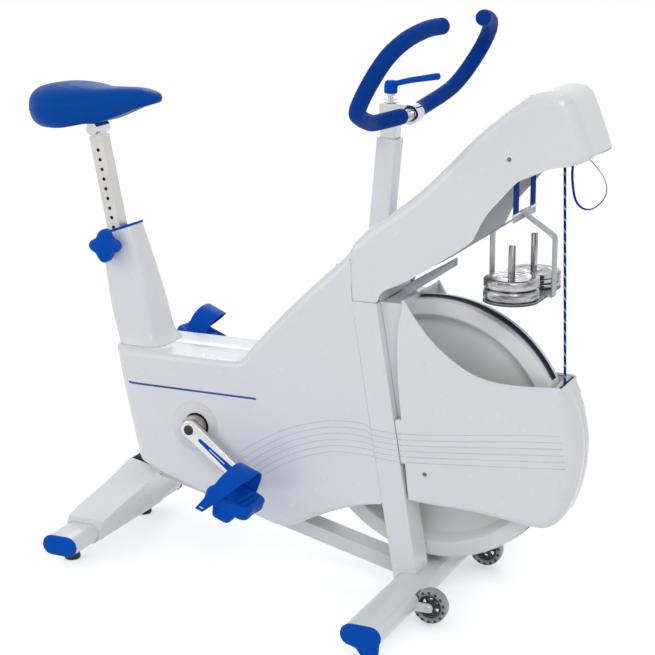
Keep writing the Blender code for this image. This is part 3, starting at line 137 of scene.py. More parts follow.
def full_turn(count):
    """Angles evenly spaced round a circle."""
    return np.linspace(0, 2 * pi, count, endpoint=False)


def unit(vectors):
    return vectors / np.maximum(np.linalg.norm(vectors, axis=-1, keepdims=True), 1e-12)


def run_of(path):
    """Distance from the path's start at each of its points."""
    return np.r_[0, np.cumsum(np.linalg.norm(np.diff(path, axis=0), axis=1))]


def at_runs(path, runs):
    """Places along a path at given distances from its start."""
    own = run_of(path)
    return np.stack([np.interp(runs, own, path[:, k]) for k in range(path.shape[1])], axis=1)


def evenly(path, count):
    path = np.asarray(path, float)
    return at_runs(path, np.linspace(0, run_of(path)[-1], count))


def flowing(points, count):
    """A Catmull-Rom curve through points, sampled at places evenly spaced along its length."""
    p = np.asarray(points, float)
    t = np.linspace(0, len(p) - 1, 12 * len(p))
    i = np.minimum(t.astype(int), len(p) - 2)
    f = (t - i)[:, None]
    p = np.vstack([2 * p[0] - p[1], p, 2 * p[-1] - p[-2]])
    a, b, c, d = p[i], p[i + 1], p[i + 2], p[i + 3]
    return evenly(0.5 * (2 * b + (c - a) * f + (2 * a - 5 * b + 4 * c - d) * f ** 2
                         + (3 * b - a - 3 * c + d) * f ** 3), count)


def softened(points, reach, steps, closed=True, extra=None):
    """Swaps each corner for a quadratic curve from `reach` before it to `reach` after it.

    The reach is at most half of either side. `extra` is how many more points each side gets.
    """
    p = np.asarray(points, float)
    before, after = np.roll(p, 1, axis=0) - p, np.roll(p, -1, axis=0) - p
    length_b, length_a = (np.maximum(np.linalg.norm(v, axis=1), 1e-9) for v in (before, after))
    reach = np.broadcast_to(np.asarray(reach, float), (len(p),))
    start = p + before * (np.minimum(reach, length_b / 2) / length_b)[:, None]
    end = p + after * (np.minimum(reach, length_a / 2) / length_a)[:, None]
    if not closed:
        start[0] = end[0] = p[0]
        start[-1] = end[-1] = p[-1]
    t = np.linspace(0, 1, steps + 1)[None, :, None]
    curve = (1 - t) ** 2 * start[:, None] + 2 * t * (1 - t) * p[:, None] + t ** 2 * end[:, None]
    if extra is None:
        line = curve.reshape(-1, p.shape[1])
    else:
        line = np.concatenate([np.concatenate([curve[k], end[k] + (start[(k + 1) % len(p)] - end[k])
                                               * np.linspace(0, 1, n + 2)[1:-1, None]])
                               for k, n in enumerate(extra)])
    if not closed:
        line = line[np.r_[True, np.linalg.norm(np.diff(line, axis=0), axis=1) > 1e-7]]
    return line


def shifted(points, before, after):
    """Moves an anticlockwise outline's sides outwards; a corner is where its two moved sides meet."""
    a = unit(points - np.roll(points, 1, axis=0))
    b = unit(np.roll(points, -1, axis=0) - points)
    out_a, out_b = xyz(a[:, 1], -a[:, 0]), xyz(b[:, 1], -b[:, 0])
    turn = a[:, 0] * b[:, 1] - a[:, 1] * b[:, 0]
    flat = np.abs(turn) < 0.05
    reach = (after - before * (out_a * out_b).sum(1)) / np.where(flat, 1.0, turn)
    met = points + out_a * before[:, None] + a * reach[:, None]
    plain = points + unit(out_a + out_b) * ((before + after) / 2)[:, None]
    return np.where(flat[:, None], plain, met)


def swept(path, section, reference=(0, 1, 0), scale=1.0):
    """A section of (across, other) offsets carried along a path, one ring of points per path point.

    Across is square to the path and nearest the reference; other is square to both.
    """
    tangent = unit(np.gradient(path, axis=0))
    reference = np.broadcast_to(np.asarray(reference, float), path.shape)
    across = unit(reference - tangent * (reference * tangent).sum(1, keepdims=True))
    other = np.cross(tangent, across)
    section = np.asarray(section, float)
    size = np.asarray(scale, float).reshape(-1, 1, 1)
    return path[:, None] + size * (section[None, :, :1] * across[:, None]
                                   + section[None, :, 1:] * other[:, None])


def circle(radius, sides):
    t = full_turn(sides)
    return xyz(radius * np.cos(t), radius * np.sin(t))


def strip_section(wide, thick, ease=0.45):
    """A strip's section, its corners rounded by a share of its thickness."""
    w, h = wide / 2, thick / 2
    return softened([(-w, -h), (w, -h), (w, h), (-w, h)], thick * ease, 3)


def eased_ends(path, radius, rounding):
    """The path with more points at its ends, and the size of a round section there as its edge rounds off."""
    own = run_of(path)
    length = own[-1]
    angle = np.linspace(0.05, pi / 2, 6)
    head = rounding * (1 - np.cos(angle))
    size = 1 - rounding / radius * (1 - np.sin(angle))
    keep = own[(own > rounding * 1.05) & (own < length - rounding * 1.05)]
    places = np.r_[head, keep, (length - head)[::-1]]
    return at_runs(path, places), np.r_[size, np.ones(len(keep)), size[::-1]]


def spun(profile, center, axis, sides):
    """A profile of (radius, height) spun round an axis, Y or Z: one row of points per angle."""
    p = np.asarray(profile, float)
    t = full_turn(sides)[:, None]
    r, h = p[None, :, 0], p[None, :, 1]
    rim_a, rim_b = r * np.cos(t), r * np.sin(t)
    order = (rim_b, h, rim_a) if axis == "Y" else (rim_a, rim_b, h)
    return xyz(*order) + np.asarray(center, float)


def tilted(shape, center, angle):
    """Turns a shape about an axis along Y through a centre (x, z)."""
    verts, faces, plan = shape
    x, z, c, s = verts[:, 0] - center[0], verts[:, 2] - center[1], cos(angle), sin(angle)
    return xyz(center[0] + x * c + z * s, verts[:, 1], center[1] - x * s + z * c), faces, plan


# Shapes and pieces

def skin(grid, wrap=(False, True), caps=True, uv=None, keep=None):
    """Quads over a grid of points with its ends capped, as places, faces and a map.

    `uv` is two arrays, the across and along coordinates of the grid's lines; `keep` says which
    quads are made.
    """
    rows, cols = grid.shape[:2]
    i = np.arange(rows if wrap[0] else rows - 1)[:, None]
    j = np.arange(cols if wrap[1] else cols - 1)[None, :]
    i, j = np.broadcast_arrays(i, j)
    next_i, next_j = (i + 1) % rows, (j + 1) % cols
    quads = np.stack([i * cols + j, i * cols + next_j, next_i * cols + next_j, next_i * cols + j], -1)
    faces = (quads.reshape(-1, 4) if keep is None else quads[keep]).tolist()
    plan = np.zeros((len(faces) * 4, 2))
    if uv is not None:
        across = np.stack([uv[0][j], uv[0][j + 1], uv[0][j + 1], uv[0][j]], -1)
        along = np.stack([uv[1][i], uv[1][i], uv[1][i + 1], uv[1][i + 1]], -1)
        plan = np.stack([across, along], -1).reshape(-1, 2)
    if caps and not wrap[0]:
        last = (rows - 1) * cols
        faces += [list(range(cols))[::-1], list(range(last, last + cols))]
        plan = np.vstack([plan, np.zeros((2 * cols, 2))])
    return grid.reshape(-1, 3), faces, plan


def rod(path, radius, sides, reference, rounding=0.0):
    """A round bar along a path, its end edges rounded."""
    path = np.asarray(path, float)
    size = 1.0
    if rounding:
        path, size = eased_ends(path, radius, rounding)
    return skin(swept(path, circle(radius, sides), reference, size))


def turning(profile, center, axis, sides, ease=0.0):
    """A turned shape. Its profile runs from the axis back to the axis, or is a closed loop off it."""
    loop = profile[0][0] > 1e-9
    p = np.asarray(profile, float)
    if ease:
        p = softened(p, ease, 3, closed=loop)
    return skin(spun(p, center, axis, sides), wrap=(True, loop), caps=False)


def slab(outline, low, high, rounding, steps=3):
    """An outline of (x, z), anticlockwise, drawn out along Y with its side edges rounded."""
    points = np.asarray(outline, float)
    low, high = min(low, high), max(low, high)
    angles = np.linspace(0, pi / 2, steps + 1)
    rings = []
    for y, way, order in ((low, -1, angles[::-1]), (high, 1, angles)):
        for angle in order:
            inset = np.full(len(points), -rounding * (1 - cos(angle)))
            ring = shifted(points, inset, inset)
            rings.append(xyz(ring[:, 0], y - way * rounding * (1 - sin(angle)), ring[:, 1]))
    return skin(np.array(rings))


def block(low, high):
    (x0, y0, z0), (x1, y1, z1) = low, high
    return slab([(x0, z0), (x1, z0), (x1, z1), (x0, z1)], y0, y1, 0.0006, 2)


def strap(line, wide, thick, ease=0.45):
    """A flat strap along a path, with its map: across in metres, along in metres."""
    section = strip_section(wide, thick, ease)
    return skin(swept(line, section), uv=(np.r_[section[:, 0], section[:1, 0]], run_of(line)))


def in_scene(name, data):
    """An object of the scene, made from its data."""
    item = bpy.data.objects.new(name, data)
    bpy.context.scene.collection.objects.link(item)
    return item


def piece(name, parts, body, angle=35, replaces=(), sheet=False):
    """A piece of one or more shapes, each with its finish: (shape, finish) pairs.

    A sheet is open, so its faces are turned outwards by its biggest one.
    """
    finishes = list(dict.fromkeys(coat for _, coat in parts))
    verts, faces, plans, marks = [], [], [], []
    start = 0
    for (places, own_faces, plan), coat in parts:
        verts.append(places)
        faces += [[start + k for k in face] for face in own_faces]
        plans.append(plan)
        marks += [finishes.index(coat)] * len(own_faces)
        start += len(places)
    data = bpy.data.meshes.new(name)
    data.from_pydata(np.concatenate(verts).tolist(), [], faces)
    data.polygons.foreach_set("material_index", marks)
    layer = data.uv_layers.new(name="weave")
    layer.uv.foreach_set("vector", np.concatenate(plans).astype(np.float32).ravel())
    for coat in finishes:
        data.materials.append(coat)
    mesh = bmesh.new()
    mesh.from_mesh(data)
    bmesh.ops.remove_doubles(mesh, verts=mesh.verts, dist=5e-6 if sheet else 2e-6)
    bmesh.ops.dissolve_degenerate(mesh, edges=mesh.edges, dist=1e-7)
    bmesh.ops.recalc_face_normals(mesh, faces=mesh.faces)
    if sheet:
        biggest = max(mesh.faces, key=lambda face: face.calc_area())
        if biggest.normal.y * biggest.calc_center_median().y < 0:
            bmesh.ops.reverse_faces(mesh, faces=mesh.faces)
    mesh.to_mesh(data)
    mesh.free()
    data.shade_smooth()
    data.set_sharp_from_angle(angle=radians(angle))
    item = in_scene(name, data)
    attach(item, body)
    if replaces:
        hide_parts(*replaces)
    return item


def carried(node, coat, width):
    """A welded copy of a node of the frame, with its corners eased."""
    source = frame["nodes"][node]
    data = bpy.data.meshes.new(node + "_part")
    mesh = bmesh.new()
    mesh.from_mesh(source.data)
    bmesh.ops.remove_doubles(mesh, verts=mesh.verts, dist=2e-5)
    bmesh.ops.dissolve_limit(mesh, angle_limit=radians(1.0), verts=mesh.verts, edges=mesh.edges)
    mesh.to_mesh(data)
    mesh.free()
    data.materials.clear()
    data.materials.append(coat)
    data.shade_smooth()
    data.set_sharp_from_angle(angle=radians(40))
    item = in_scene(data.name, data)
    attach(item, body_of(source)[0])
    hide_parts(node)
    bevel = item.modifiers.new("eased_corners", "BEVEL")
    bevel.width = width
    bevel.segments = 3
    bevel.limit_method = "ANGLE"
    bevel.angle_limit = radians(30)
    bevel.harden_normals = True


# A shell's points: how many at a corner, how far apart along a side, and how many round a dish
PER_CORNER, ALONG, DISH_SIDES = 6, 0.014, 48


def panel(name, outline, half, side, start=0.0004, open_sides=(), levels=(), gap=None, dish=None,
          stages=8, replaces=()):
    """One side of a moulded shell as an open sheet with a wall, or both sides where side is 0.

    The outline's rows are (x, z, rounding before, rounding after, corner reach). For each stage of
    the rounding, the sides move in by r(1 - cos a) and the sheet stands at half(x) - r(1 - sin a).
    The sheet starts at the middle seam and is left open along `open_sides`, and where
    gap(x, y, z) is true. A dish is (x, z, rings) in the flat side, with rings of (radius, depth).
    """
    rows = np.asarray(outline, float)
    points, before, after, reach = rows[:, :2], rows[:, 2], rows[:, 3], rows[:, 4]
    extra = (np.linalg.norm(np.roll(points, -1, axis=0) - points, axis=1) / ALONG).astype(int)
    corner = np.concatenate([np.full(PER_CORNER + n, k) for k, n in enumerate(extra)])
    part = np.concatenate([np.arange(PER_CORNER + n) for n in extra])
    owner = np.where(part < PER_CORNER // 2, (corner - 1) % len(points), corner)
    is_open = np.isin(owner, list(open_sides))
    radius = np.maximum(before, after)
    share = np.where(part < PER_CORNER, 0.0, (part - PER_CORNER + 1) / (extra[corner] + 1))
    radius = radius[corner] * (1 - share) + radius[(corner + 1) % len(points)] * share

    def ring(angle):
        moved = shifted(points, -before * (1 - cos(angle)), -after * (1 - cos(angle)))
        line = softened(moved, reach, PER_CORNER - 1, extra=extra)
        return xyz(line[:, 0], half(line[:, 0]) - radius * (1 - sin(angle)), line[:, 1])

    rings = [ring(angle) for angle in np.linspace(0, pi / 2, stages)]
    foot = rings[0]
    sheets = [xyz(foot[:, 0], np.minimum(level, foot[:, 1]), foot[:, 2]) for level in (start, *levels)]
    grid = np.array(sheets + rings)
    total = grid.shape[1]
    keep = np.ones((len(grid) - 1, total), bool)
    keep[:len(sheets)] &= ~is_open[None]
    if gap is not None:
        beside = np.roll(grid, -1, axis=1)
        middle = (grid[:-1] + grid[1:] + beside[:-1] + beside[1:]) / 4
        keep &= ~gap(middle[..., 0], middle[..., 1], middle[..., 2])
    verts, faces, _ = skin(grid, caps=False, keep=keep)
    rim = list(range((len(grid) - 1) * total, len(grid) * total))
    if dish is None:
        faces.append(rim)
    else:
        x, z, depths = dish
        around = spun([(r, SHELL_HALF - depth) for r, depth in depths], (x, 0, z), "Y", DISH_SIDES)
        own, own_faces, _ = skin(around, wrap=(True, False), caps=False)
        base, columns, last = len(verts), len(depths), grid[-1]
        verts = np.vstack([verts, own])
        faces += [[base + k for k in face] for face in own_faces]
        ahead = int(np.argmin(np.abs(last[:, 2] - z) + 9 * (last[:, 0] < x)))
        behind = int(np.argmin(np.abs(last[:, 2] - z) + 9 * (last[:, 0] > x)))
        # The circle's places run from +Z towards +X: a quarter on is ahead, three quarters on behind
        quarter, half_turn = DISH_SIDES // 4, DISH_SIDES // 2
        hole = [base + columns * (k % DISH_SIDES) for k in range(2 * DISH_SIDES)]
        faces.append([rim[(ahead + k) % total] for k in range((behind - ahead) % total + 1)]
                     + hole[3 * quarter:3 * quarter + half_turn + 1])
        faces.append([rim[(behind + k) % total] for k in range((ahead - behind) % total + 1)]
                     + hole[quarter:quarter + half_turn + 1])
    plan = np.zeros((sum(len(face) for face in faces), 2))
    shapes = [((verts * np.array([1, s, 1]), faces, plan), white_shell)
              for s in ((side,) if side else (RIGHT, LEFT))]
    item = piece(name, shapes, "frame", 45, replaces, sheet=True)
    wall = item.modifiers.new("wall", "SOLIDIFY")
    wall.thickness = WALL
    wall.offset = -1
    flat = item.modifiers.new("flat_sides", "WEIGHTED_NORMAL")
    flat.keep_sharp = True
    flat.weight = 80


# Finishes

def add(tree, kind, inputs=None, **settings):
    """A shader node with its settings and its inputs, each a value or another node's output."""
    node = tree.nodes.new(kind)
    for key, value in settings.items():
        setattr(node, key, value)
    for key, value in (inputs or {}).items():
        if isinstance(value, bpy.types.NodeSocket):
            tree.links.new(value, node.inputs[key])
        else:
            node.inputs[key].default_value = value
    return node


def new_group(name, inputs, outputs):
    """A shader group, with the kind of each input and output by its name."""
    tree = bpy.data.node_groups.new(name, "ShaderNodeTree")
    for way, sockets in (("INPUT", inputs), ("OUTPUT", outputs)):
        for label, kind in sockets.items():
            tree.interface.new_socket(label, in_out=way, socket_type="NodeSocket" + kind)
    return tree, tree.nodes.new("NodeGroupInput").outputs, tree.nodes.new("NodeGroupOutput").inputs


def skin_group(name):
    """A group for a surface's own skin: its height and its marks, from a place and a size."""
    return new_group(name, {"Vector": "Vector", "Size": "Float"}, {"Height": "Float", "Mark": "Float"})


def calc(tree, operation, *values):
    return add(tree, "ShaderNodeMath", dict(enumerate(values)), operation=operation).outputs[0]


def mixed(tree, share, a, b):
    return add(tree, "ShaderNodeMix", {0: share, 6: a, 7: b}, data_type="RGBA").outputs[2]


def noise(tree, vector, scale, detail, roughness):
    return add(tree, "ShaderNodeTexNoise", {"Vector": vector, "Scale": scale, "Detail": detail,
                                            "Roughness": roughness}).outputs[0]


def ramp(tree, value, low, high, to_low=0.0, to_high=1.0):
    return add(tree, "ShaderNodeMapRange", {0: value, 1: low, 2: high, 3: to_low, 4: to_high}).outputs[0]


def make_tone_and_gloss():
    """Two tones by a broad soft noise, uneven gloss by a finer one, and dust where faces look up."""
    tree, given, out = new_group("tone_and_gloss", {
        "Vector": "Vector", "Tone": "Color", "Second Tone": "Color", "Size": "Float", "Gloss Low": "Float",
        "Gloss High": "Float", "Dust": "Float"}, {"Color": "Color", "Roughness": "Float"})
    share = ramp(tree, noise(tree, given["Vector"], given["Size"], 4.0, 0.55), 0.35, 0.68)
    tone = mixed(tree, share, given["Tone"], given["Second Tone"])
    normal = add(tree, "ShaderNodeNewGeometry").outputs["Normal"]
    up = add(tree, "ShaderNodeSeparateXYZ", {0: normal}).outputs[2]
    lying = calc(tree, "MULTIPLY", calc(tree, "MAXIMUM", up, 0.0),
                 noise(tree, given["Vector"], 38.0, 5.0, 0.65))
    dust = calc(tree, "MULTIPLY", lying, given["Dust"])
    fine = noise(tree, given["Vector"], 55.0, 3.0, 0.6)
    gloss = ramp(tree, fine, 0.3, 0.7, given["Gloss Low"], given["Gloss High"])
    tree.links.new(mixed(tree, dust, tone, (0.62, 0.61, 0.58, 1)), out["Color"])
    tree.links.new(calc(tree, "MULTIPLY_ADD", dust, 0.4, gloss), out["Roughness"])
    return tree


def make_rubbed_edges():
    """Edge wear: the mesh's own pointiness picks out corners, and a noise breaks them up."""
    tree, given, out = new_group("rubbed_edges", {
        "Vector": "Vector", "Color": "Color", "Bare": "Color", "Amount": "Float"}, {"Color": "Color"})
    edge = ramp(tree, add(tree, "ShaderNodeNewGeometry").outputs["Pointiness"], 0.53, 0.62)
    broken = ramp(tree, noise(tree, given["Vector"], 160.0, 4.0, 0.7), 0.42, 0.62)
    mask = calc(tree, "MULTIPLY", calc(tree, "MULTIPLY", edge, broken), given["Amount"])
    tree.links.new(mixed(tree, mask, given["Color"], given["Bare"]), out["Color"])
    return tree


def make_grain():
    """The fine skin of moulded or powder-coated surfaces: small noise over tiny cells."""
    tree, given, out = skin_group("moulded_grain")
    small = noise(tree, given["Vector"], given["Size"], 2.0, 0.5)
    cells = add(tree, "ShaderNodeTexVoronoi", {
        "Vector": given["Vector"], "Scale": calc(tree, "MULTIPLY", given["Size"], 0.55)}).outputs["Distance"]
    tree.links.new(calc(tree, "MULTIPLY_ADD", cells, 0.5, small), out["Height"])
    return tree


def make_vinyl():
    """Embossed vinyl or foam: rounded cells with creases between them, and soft folds over all. Its mark is the
    creases, which the blue finishes darken as painted shade.
    """
    tree, given, out = skin_group("vinyl_grain")
    cell = add(tree, "ShaderNodeTexVoronoi", {"Vector": given["Vector"], "Scale": given["Size"]},
               feature="DISTANCE_TO_EDGE").outputs["Distance"]
    crease = ramp(tree, cell, 0.0, 0.16, 1.0, 0.0)
    folds = noise(tree, given["Vector"], calc(tree, "MULTIPLY", given["Size"], 0.12), 4.0, 0.6)
    tree.links.new(calc(tree, "MULTIPLY_ADD", crease, -0.45, folds), out["Height"])
    tree.links.new(crease, out["Mark"])
    return tree


def make_drawn_lines():
    """Drawn or turned metal: noise over a vector that the material has stretched along one axis. The chrome finishes
    darken its marked lines as painted reflections.
    """
    tree, given, out = skin_group("drawn_lines")
    lines = noise(tree, given["Vector"], given["Size"], 5.0, 0.65)
    pits = noise(tree, given["Vector"], calc(tree, "MULTIPLY", given["Size"], 0.07), 3.0, 0.5)
    tree.links.new(calc(tree, "MULTIPLY_ADD", pits, 0.25, lines), out["Height"])
    tree.links.new(ramp(tree, lines, 0.44, 0.60), out["Mark"])
    return tree


def make_woven_tape():
    """Woven tape on a strip's own map: two sets of threads crossing on the slant."""
    tree, given, out = skin_group("woven_tape")
    part = add(tree, "ShaderNodeSeparateXYZ", {0: given["Vector"]}).outputs
    across = calc(tree, "MULTIPLY", part[0], given["Size"])
    along = calc(tree, "MULTIPLY", part[1], given["Size"])
    warp = calc(tree, "SINE", calc(tree, "MULTIPLY", calc(tree, "ADD", across, along), pi))
    weft = calc(tree, "SINE", calc(tree, "MULTIPLY", calc(tree, "SUBTRACT", along, across), pi))
    tree.links.new(calc(tree, "MULTIPLY_ADD", calc(tree, "MULTIPLY", warp, weft), 0.5, 0.5), out["Height"])
    tree.links.new(calc(tree, "GREATER_THAN", warp, 0.1), out["Mark"])
    return tree


def make_braid():
    """A braided cord on its own map: strands winding both ways, with pale tracers among them."""
    tree, given, out = skin_group("braided_cover")
    part = add(tree, "ShaderNodeSeparateXYZ", {0: given["Vector"]}).outputs
    around = calc(tree, "MULTIPLY", part[0], 6.0)
    along = calc(tree, "MULTIPLY", part[1], given["Size"])
    one_way = calc(tree, "SINE", calc(tree, "MULTIPLY", calc(tree, "ADD", around, along), 2 * pi))
    other = calc(tree, "SINE", calc(tree, "MULTIPLY", calc(tree, "SUBTRACT", around, along), 2 * pi))
    tree.links.new(calc(tree, "MAXIMUM", one_way, other), out["Height"])
    rare = calc(tree, "SINE", calc(tree, "MULTIPLY", calc(tree, "MULTIPLY_ADD", along, 0.5, part[0]), 2 * pi))
    tree.links.new(calc(tree, "MULTIPLY", calc(tree, "GREATER_THAN", rare, 0.70),
                        calc(tree, "GREATER_THAN", one_way, -0.2)), out["Mark"])
    return tree


SKINS = {"grain": make_grain(), "vinyl": make_vinyl(), "drawn": make_drawn_lines(),
         "tape": make_woven_tape(), "braid": make_braid()}
TONE_AND_GLOSS, RUBBED_EDGES = make_tone_and_gloss(), make_rubbed_edges()


def placed(tree, group, **inputs):
    """A group placed in a material, with its inputs by name."""
    node = tree.nodes.new("ShaderNodeGroup")
    node.node_tree = group
    for key, value in inputs.items():
        socket = node.inputs[key.replace("_", " ")]
        if isinstance(value, bpy.types.NodeSocket):
            tree.links.new(value, socket)
        else:
            socket.default_value = value
    return node.outputs


def finish(name, tone, second, gloss, skin_kind="grain", size=900.0, bump=0.15, depth=0.0002, patches=6.0,
           dust=0.0, rub=None, mark=None, stretch=None, on_map=False, edge=None, **sockets):
    """A finish: drifting tones and gloss, worn edges, and the marks and height of its own skin.

    `rub` is a bare colour and an amount, `mark` the same for the skin's marks, and `edge` a colour
    and the distance from a strip's middle where its selvedge starts. Other words are the shader's
    own sockets.
    """
    material = bpy.data.materials.new(name)
    material.use_nodes = True
    tree = material.node_tree
    shader = tree.nodes["Principled BSDF"]
    coords = add(tree, "ShaderNodeTexCoord").outputs
    ground = placed(tree, TONE_AND_GLOSS, Vector=coords["Object"], Tone=(*tone, 1), Second_Tone=(*second, 1),
                    Size=patches, Gloss_Low=gloss[0], Gloss_High=gloss[1], Dust=dust)
    color, rough = ground["Color"], ground["Roughness"]
    if rub is not None:
        color = placed(tree, RUBBED_EDGES, Vector=coords["Object"], Color=color, Bare=(*rub[0], 1),
                       Amount=rub[1])["Color"]
    vector = coords["UV"] if on_map else coords["Object"]
    if edge is not None:
        across = add(tree, "ShaderNodeSeparateXYZ", {0: vector}).outputs[0]
        color = mixed(tree, calc(tree, "GREATER_THAN", calc(tree, "ABSOLUTE", across), edge[1]), color,
                      (*edge[0], 1))
    if stretch is not None:
        vector = add(tree, "ShaderNodeMapping", {"Vector": vector, "Scale": stretch}).outputs[0]
    worked = placed(tree, SKINS[skin_kind], Vector=vector, Size=size)
    if mark is not None:
        color = mixed(tree, calc(tree, "MULTIPLY", worked["Mark"], mark[1]), color, (*mark[0], 1))
    if skin_kind == "drawn":
        rough = calc(tree, "MULTIPLY_ADD", worked["Mark"], 0.12, rough)
    bumped = add(tree, "ShaderNodeBump", {"Height": worked["Height"], "Strength": bump, "Distance": depth})
    tree.links.new(color, shader.inputs["Base Color"])
    tree.links.new(rough, shader.inputs["Roughness"])
    tree.links.new(bumped.outputs[0], shader.inputs["Normal"])
    for key, value in sockets.items():
        shader.inputs[key.replace("_", " ")].default_value = value
    return material


COATED = {"Coat_Weight": 0.25, "Coat_Roughness": 0.12}
METAL = {"Metallic": 1.0}
MUTED = {"Specular_IOR_Level": 0.05}
white_shell = finish("satin white shell", (0.80, 0.81, 0.835), (0.785, 0.795, 0.82), (0.22, 0.28), size=1300,
                     bump=0.02, depth=0.0001, dust=0.02, **COATED)
white_paint = finish("white powder coat", (0.80, 0.81, 0.83), (0.77, 0.775, 0.79), (0.26, 0.36), size=650,
                     bump=0.05, dust=0.04, rub=((0.66, 0.65, 0.63), 0.15), **COATED)
cast_enamel = finish("enamelled casting", (0.82, 0.82, 0.80), (0.79, 0.79, 0.77), (0.30, 0.40), size=420,
                     bump=0.10, depth=0.0003, dust=0.02, rub=((0.85, 0.85, 0.84), 0.25))
blue_nylon = finish("blue nylon", (0.0012, 0.088, 0.52), (0.0010, 0.074, 0.45), (0.28, 0.40), size=1000,
                    bump=0.10, rub=((0.01, 0.16, 0.70), 0.35), **MUTED)
# The darker mark colour of the vinyl and the foam fills the grain's creases: painted shade.
blue_vinyl = finish("blue saddle vinyl", (0.0015, 0.076, 0.39), (0.0012, 0.064, 0.34), (0.34, 0.46), "vinyl",
                    size=520, bump=0.15, depth=0.0005, mark=((0.002, 0.050, 0.26), 0.30), **MUTED)
blue_foam = finish("blue grip foam", (0.0012, 0.050, 0.32), (0.0010, 0.042, 0.27), (0.50, 0.66), "vinyl",
                   size=900, bump=0.25, depth=0.0005, mark=((0.002, 0.045, 0.24), 0.30), **MUTED)
blue_tape = finish("blue woven tape", (0.003, 0.060, 0.33), (0.0025, 0.048, 0.27), (0.60, 0.78), "tape",
                   size=800, bump=0.5, depth=0.0005, mark=((0.002, 0.030, 0.17), 0.4), on_map=True, **MUTED)
belt_weave = finish("brake belt weave", (0.006, 0.022, 0.060), (0.005, 0.018, 0.048), (0.60, 0.78), "tape",
                    size=650, bump=0.5, depth=0.0005, mark=((0.004, 0.012, 0.030), 0.4), on_map=True,
                    edge=((0.10, 0.19, 0.24), 0.0088), **MUTED)
cord_braid = finish("flecked braid", (0.006, 0.050, 0.205), (0.005, 0.040, 0.17), (0.60, 0.78), "braid",
                    size=95, bump=0.6, depth=0.0006, mark=((0.60, 0.68, 0.76), 1.0), on_map=True, **MUTED)
black_rubber = finish("black rubber", (0.016, 0.016, 0.017), (0.024, 0.024, 0.024), (0.58, 0.74), size=700,
                      bump=0.3, dust=0.18)
grey_tyre = finish("clear grey tyre", (0.33, 0.34, 0.35), (0.27, 0.28, 0.29), (0.28, 0.42), size=600,
                   dust=0.1, Coat_Weight=0.3)
dark_moulding = finish("dark moulding", (0.030, 0.031, 0.034), (0.040, 0.041, 0.043), (0.36, 0.50), bump=0.2,
                       dust=0.1)
chrome = finish("chrome plate", (0.66, 0.66, 0.68), (0.60, 0.60, 0.62), (0.05, 0.10), size=260, bump=0.02,
                dust=0.02, **METAL)
# The discs' chrome: its darker tones and the dark streaks along its drawn lines are painted dark reflections, not wear
# from handling.
dark_reflection_chrome = finish("chrome with painted dark reflections", (0.56, 0.56, 0.58), (0.40, 0.40, 0.42), (0.06, 0.16), "drawn", size=70,
                     bump=0.10, depth=0.0006, patches=45, mark=((0.07, 0.07, 0.075), 0.75),
                     stretch=(0.35, 0.35, 1.6), **METAL)
# The dark streaks along the pegs' drawn lines are painted dark reflections.
peg_chrome = finish("peg chrome", (0.55, 0.55, 0.57), (0.42, 0.42, 0.44), (0.05, 0.12), "drawn", size=160,
                    bump=0.05, mark=((0.05, 0.05, 0.055), 0.8), stretch=(1.0, 1.0, 0.05), **METAL)
drawn_steel = finish("drawn steel", (0.56, 0.56, 0.58), (0.48, 0.48, 0.50), (0.22, 0.34), "drawn", size=240,
                     stretch=(1, 1, 0.05), bump=0.12, dust=0.03, **METAL)
zinc_sheet = finish("zinc plated sheet", (0.42, 0.43, 0.48), (0.34, 0.35, 0.40), (0.30, 0.44), size=180,
                    bump=0.12, dust=0.03, patches=60, Metallic=0.85)
polished_alloy = finish("polished alloy", (0.72, 0.72, 0.73), (0.62, 0.62, 0.63), (0.12, 0.24), "drawn",
                        size=160, stretch=(0.15, 1, 0.15), bump=0.06, dust=0.02, **METAL)
bearing_steel = finish("turned bearing steel", (0.52, 0.47, 0.40), (0.36, 0.32, 0.27), (0.16, 0.30), "drawn",
                       size=300, bump=0.10, patches=40, **METAL)
post_plate = finish("satin plated post", (0.66, 0.65, 0.63), (0.58, 0.57, 0.56), (0.18, 0.30), "drawn",
                    size=260, stretch=(1, 1, 0.04), bump=0.08, dust=0.02, Metallic=0.9)
oiled_steel = finish("oiled chain steel", (0.22, 0.21, 0.20), (0.15, 0.145, 0.14), (0.30, 0.48), size=500,
                     bump=0.2, **METAL)
dark_sheet = finish("blackened sheet", (0.070, 0.070, 0.072), (0.10, 0.10, 0.10), (0.34, 0.5), size=350,
                    dust=0.05, Metallic=0.8)
worn_bracket = finish("worn bracket steel", (0.45, 0.44, 0.42), (0.16, 0.155, 0.15), (0.25, 0.5), size=300,
                      bump=0.25, dust=0.05, patches=160, Metallic=0.9)
white_inlay = finish("white inlay", (0.85, 0.87, 0.90), (0.82, 0.84, 0.87), (0.3, 0.4), bump=0.02)
blue_film = finish("blue film", (0.006, 0.075, 0.36), (0.006, 0.070, 0.33), (0.25, 0.33), bump=0.02)
# Lavender grey for the rail under the arm: painted shade, where the hood's inner flange lies in shadow.
painted_shade_grey = finish("grey painted shade under the hood", (0.42, 0.43, 0.50), (0.39, 0.40, 0.47), (0.34, 0.44), bump=0.05)
# Darker than the shell, so that the fine ribs read as lines: painted shade along them.
painted_rib_shade = finish("painted shade of the moulded ribs", (0.62, 0.63, 0.66), (0.59, 0.60, 0.63), (0.3, 0.4), bump=0.02)
screw_plate = finish("darkened screw head", (0.20, 0.20, 0.21), (0.14, 0.14, 0.15), (0.3, 0.45), bump=0.1,
                     Metallic=0.8)


# The camera

def facing(place, right, back):
    """Where a camera or a lamp is: its place, its right side, and the way back from what it looks at."""
    turn = Matrix(np.stack([right, np.cross(back, right), back], axis=1).tolist()).to_4x4()
    return Matrix.Translation(place) @ turn


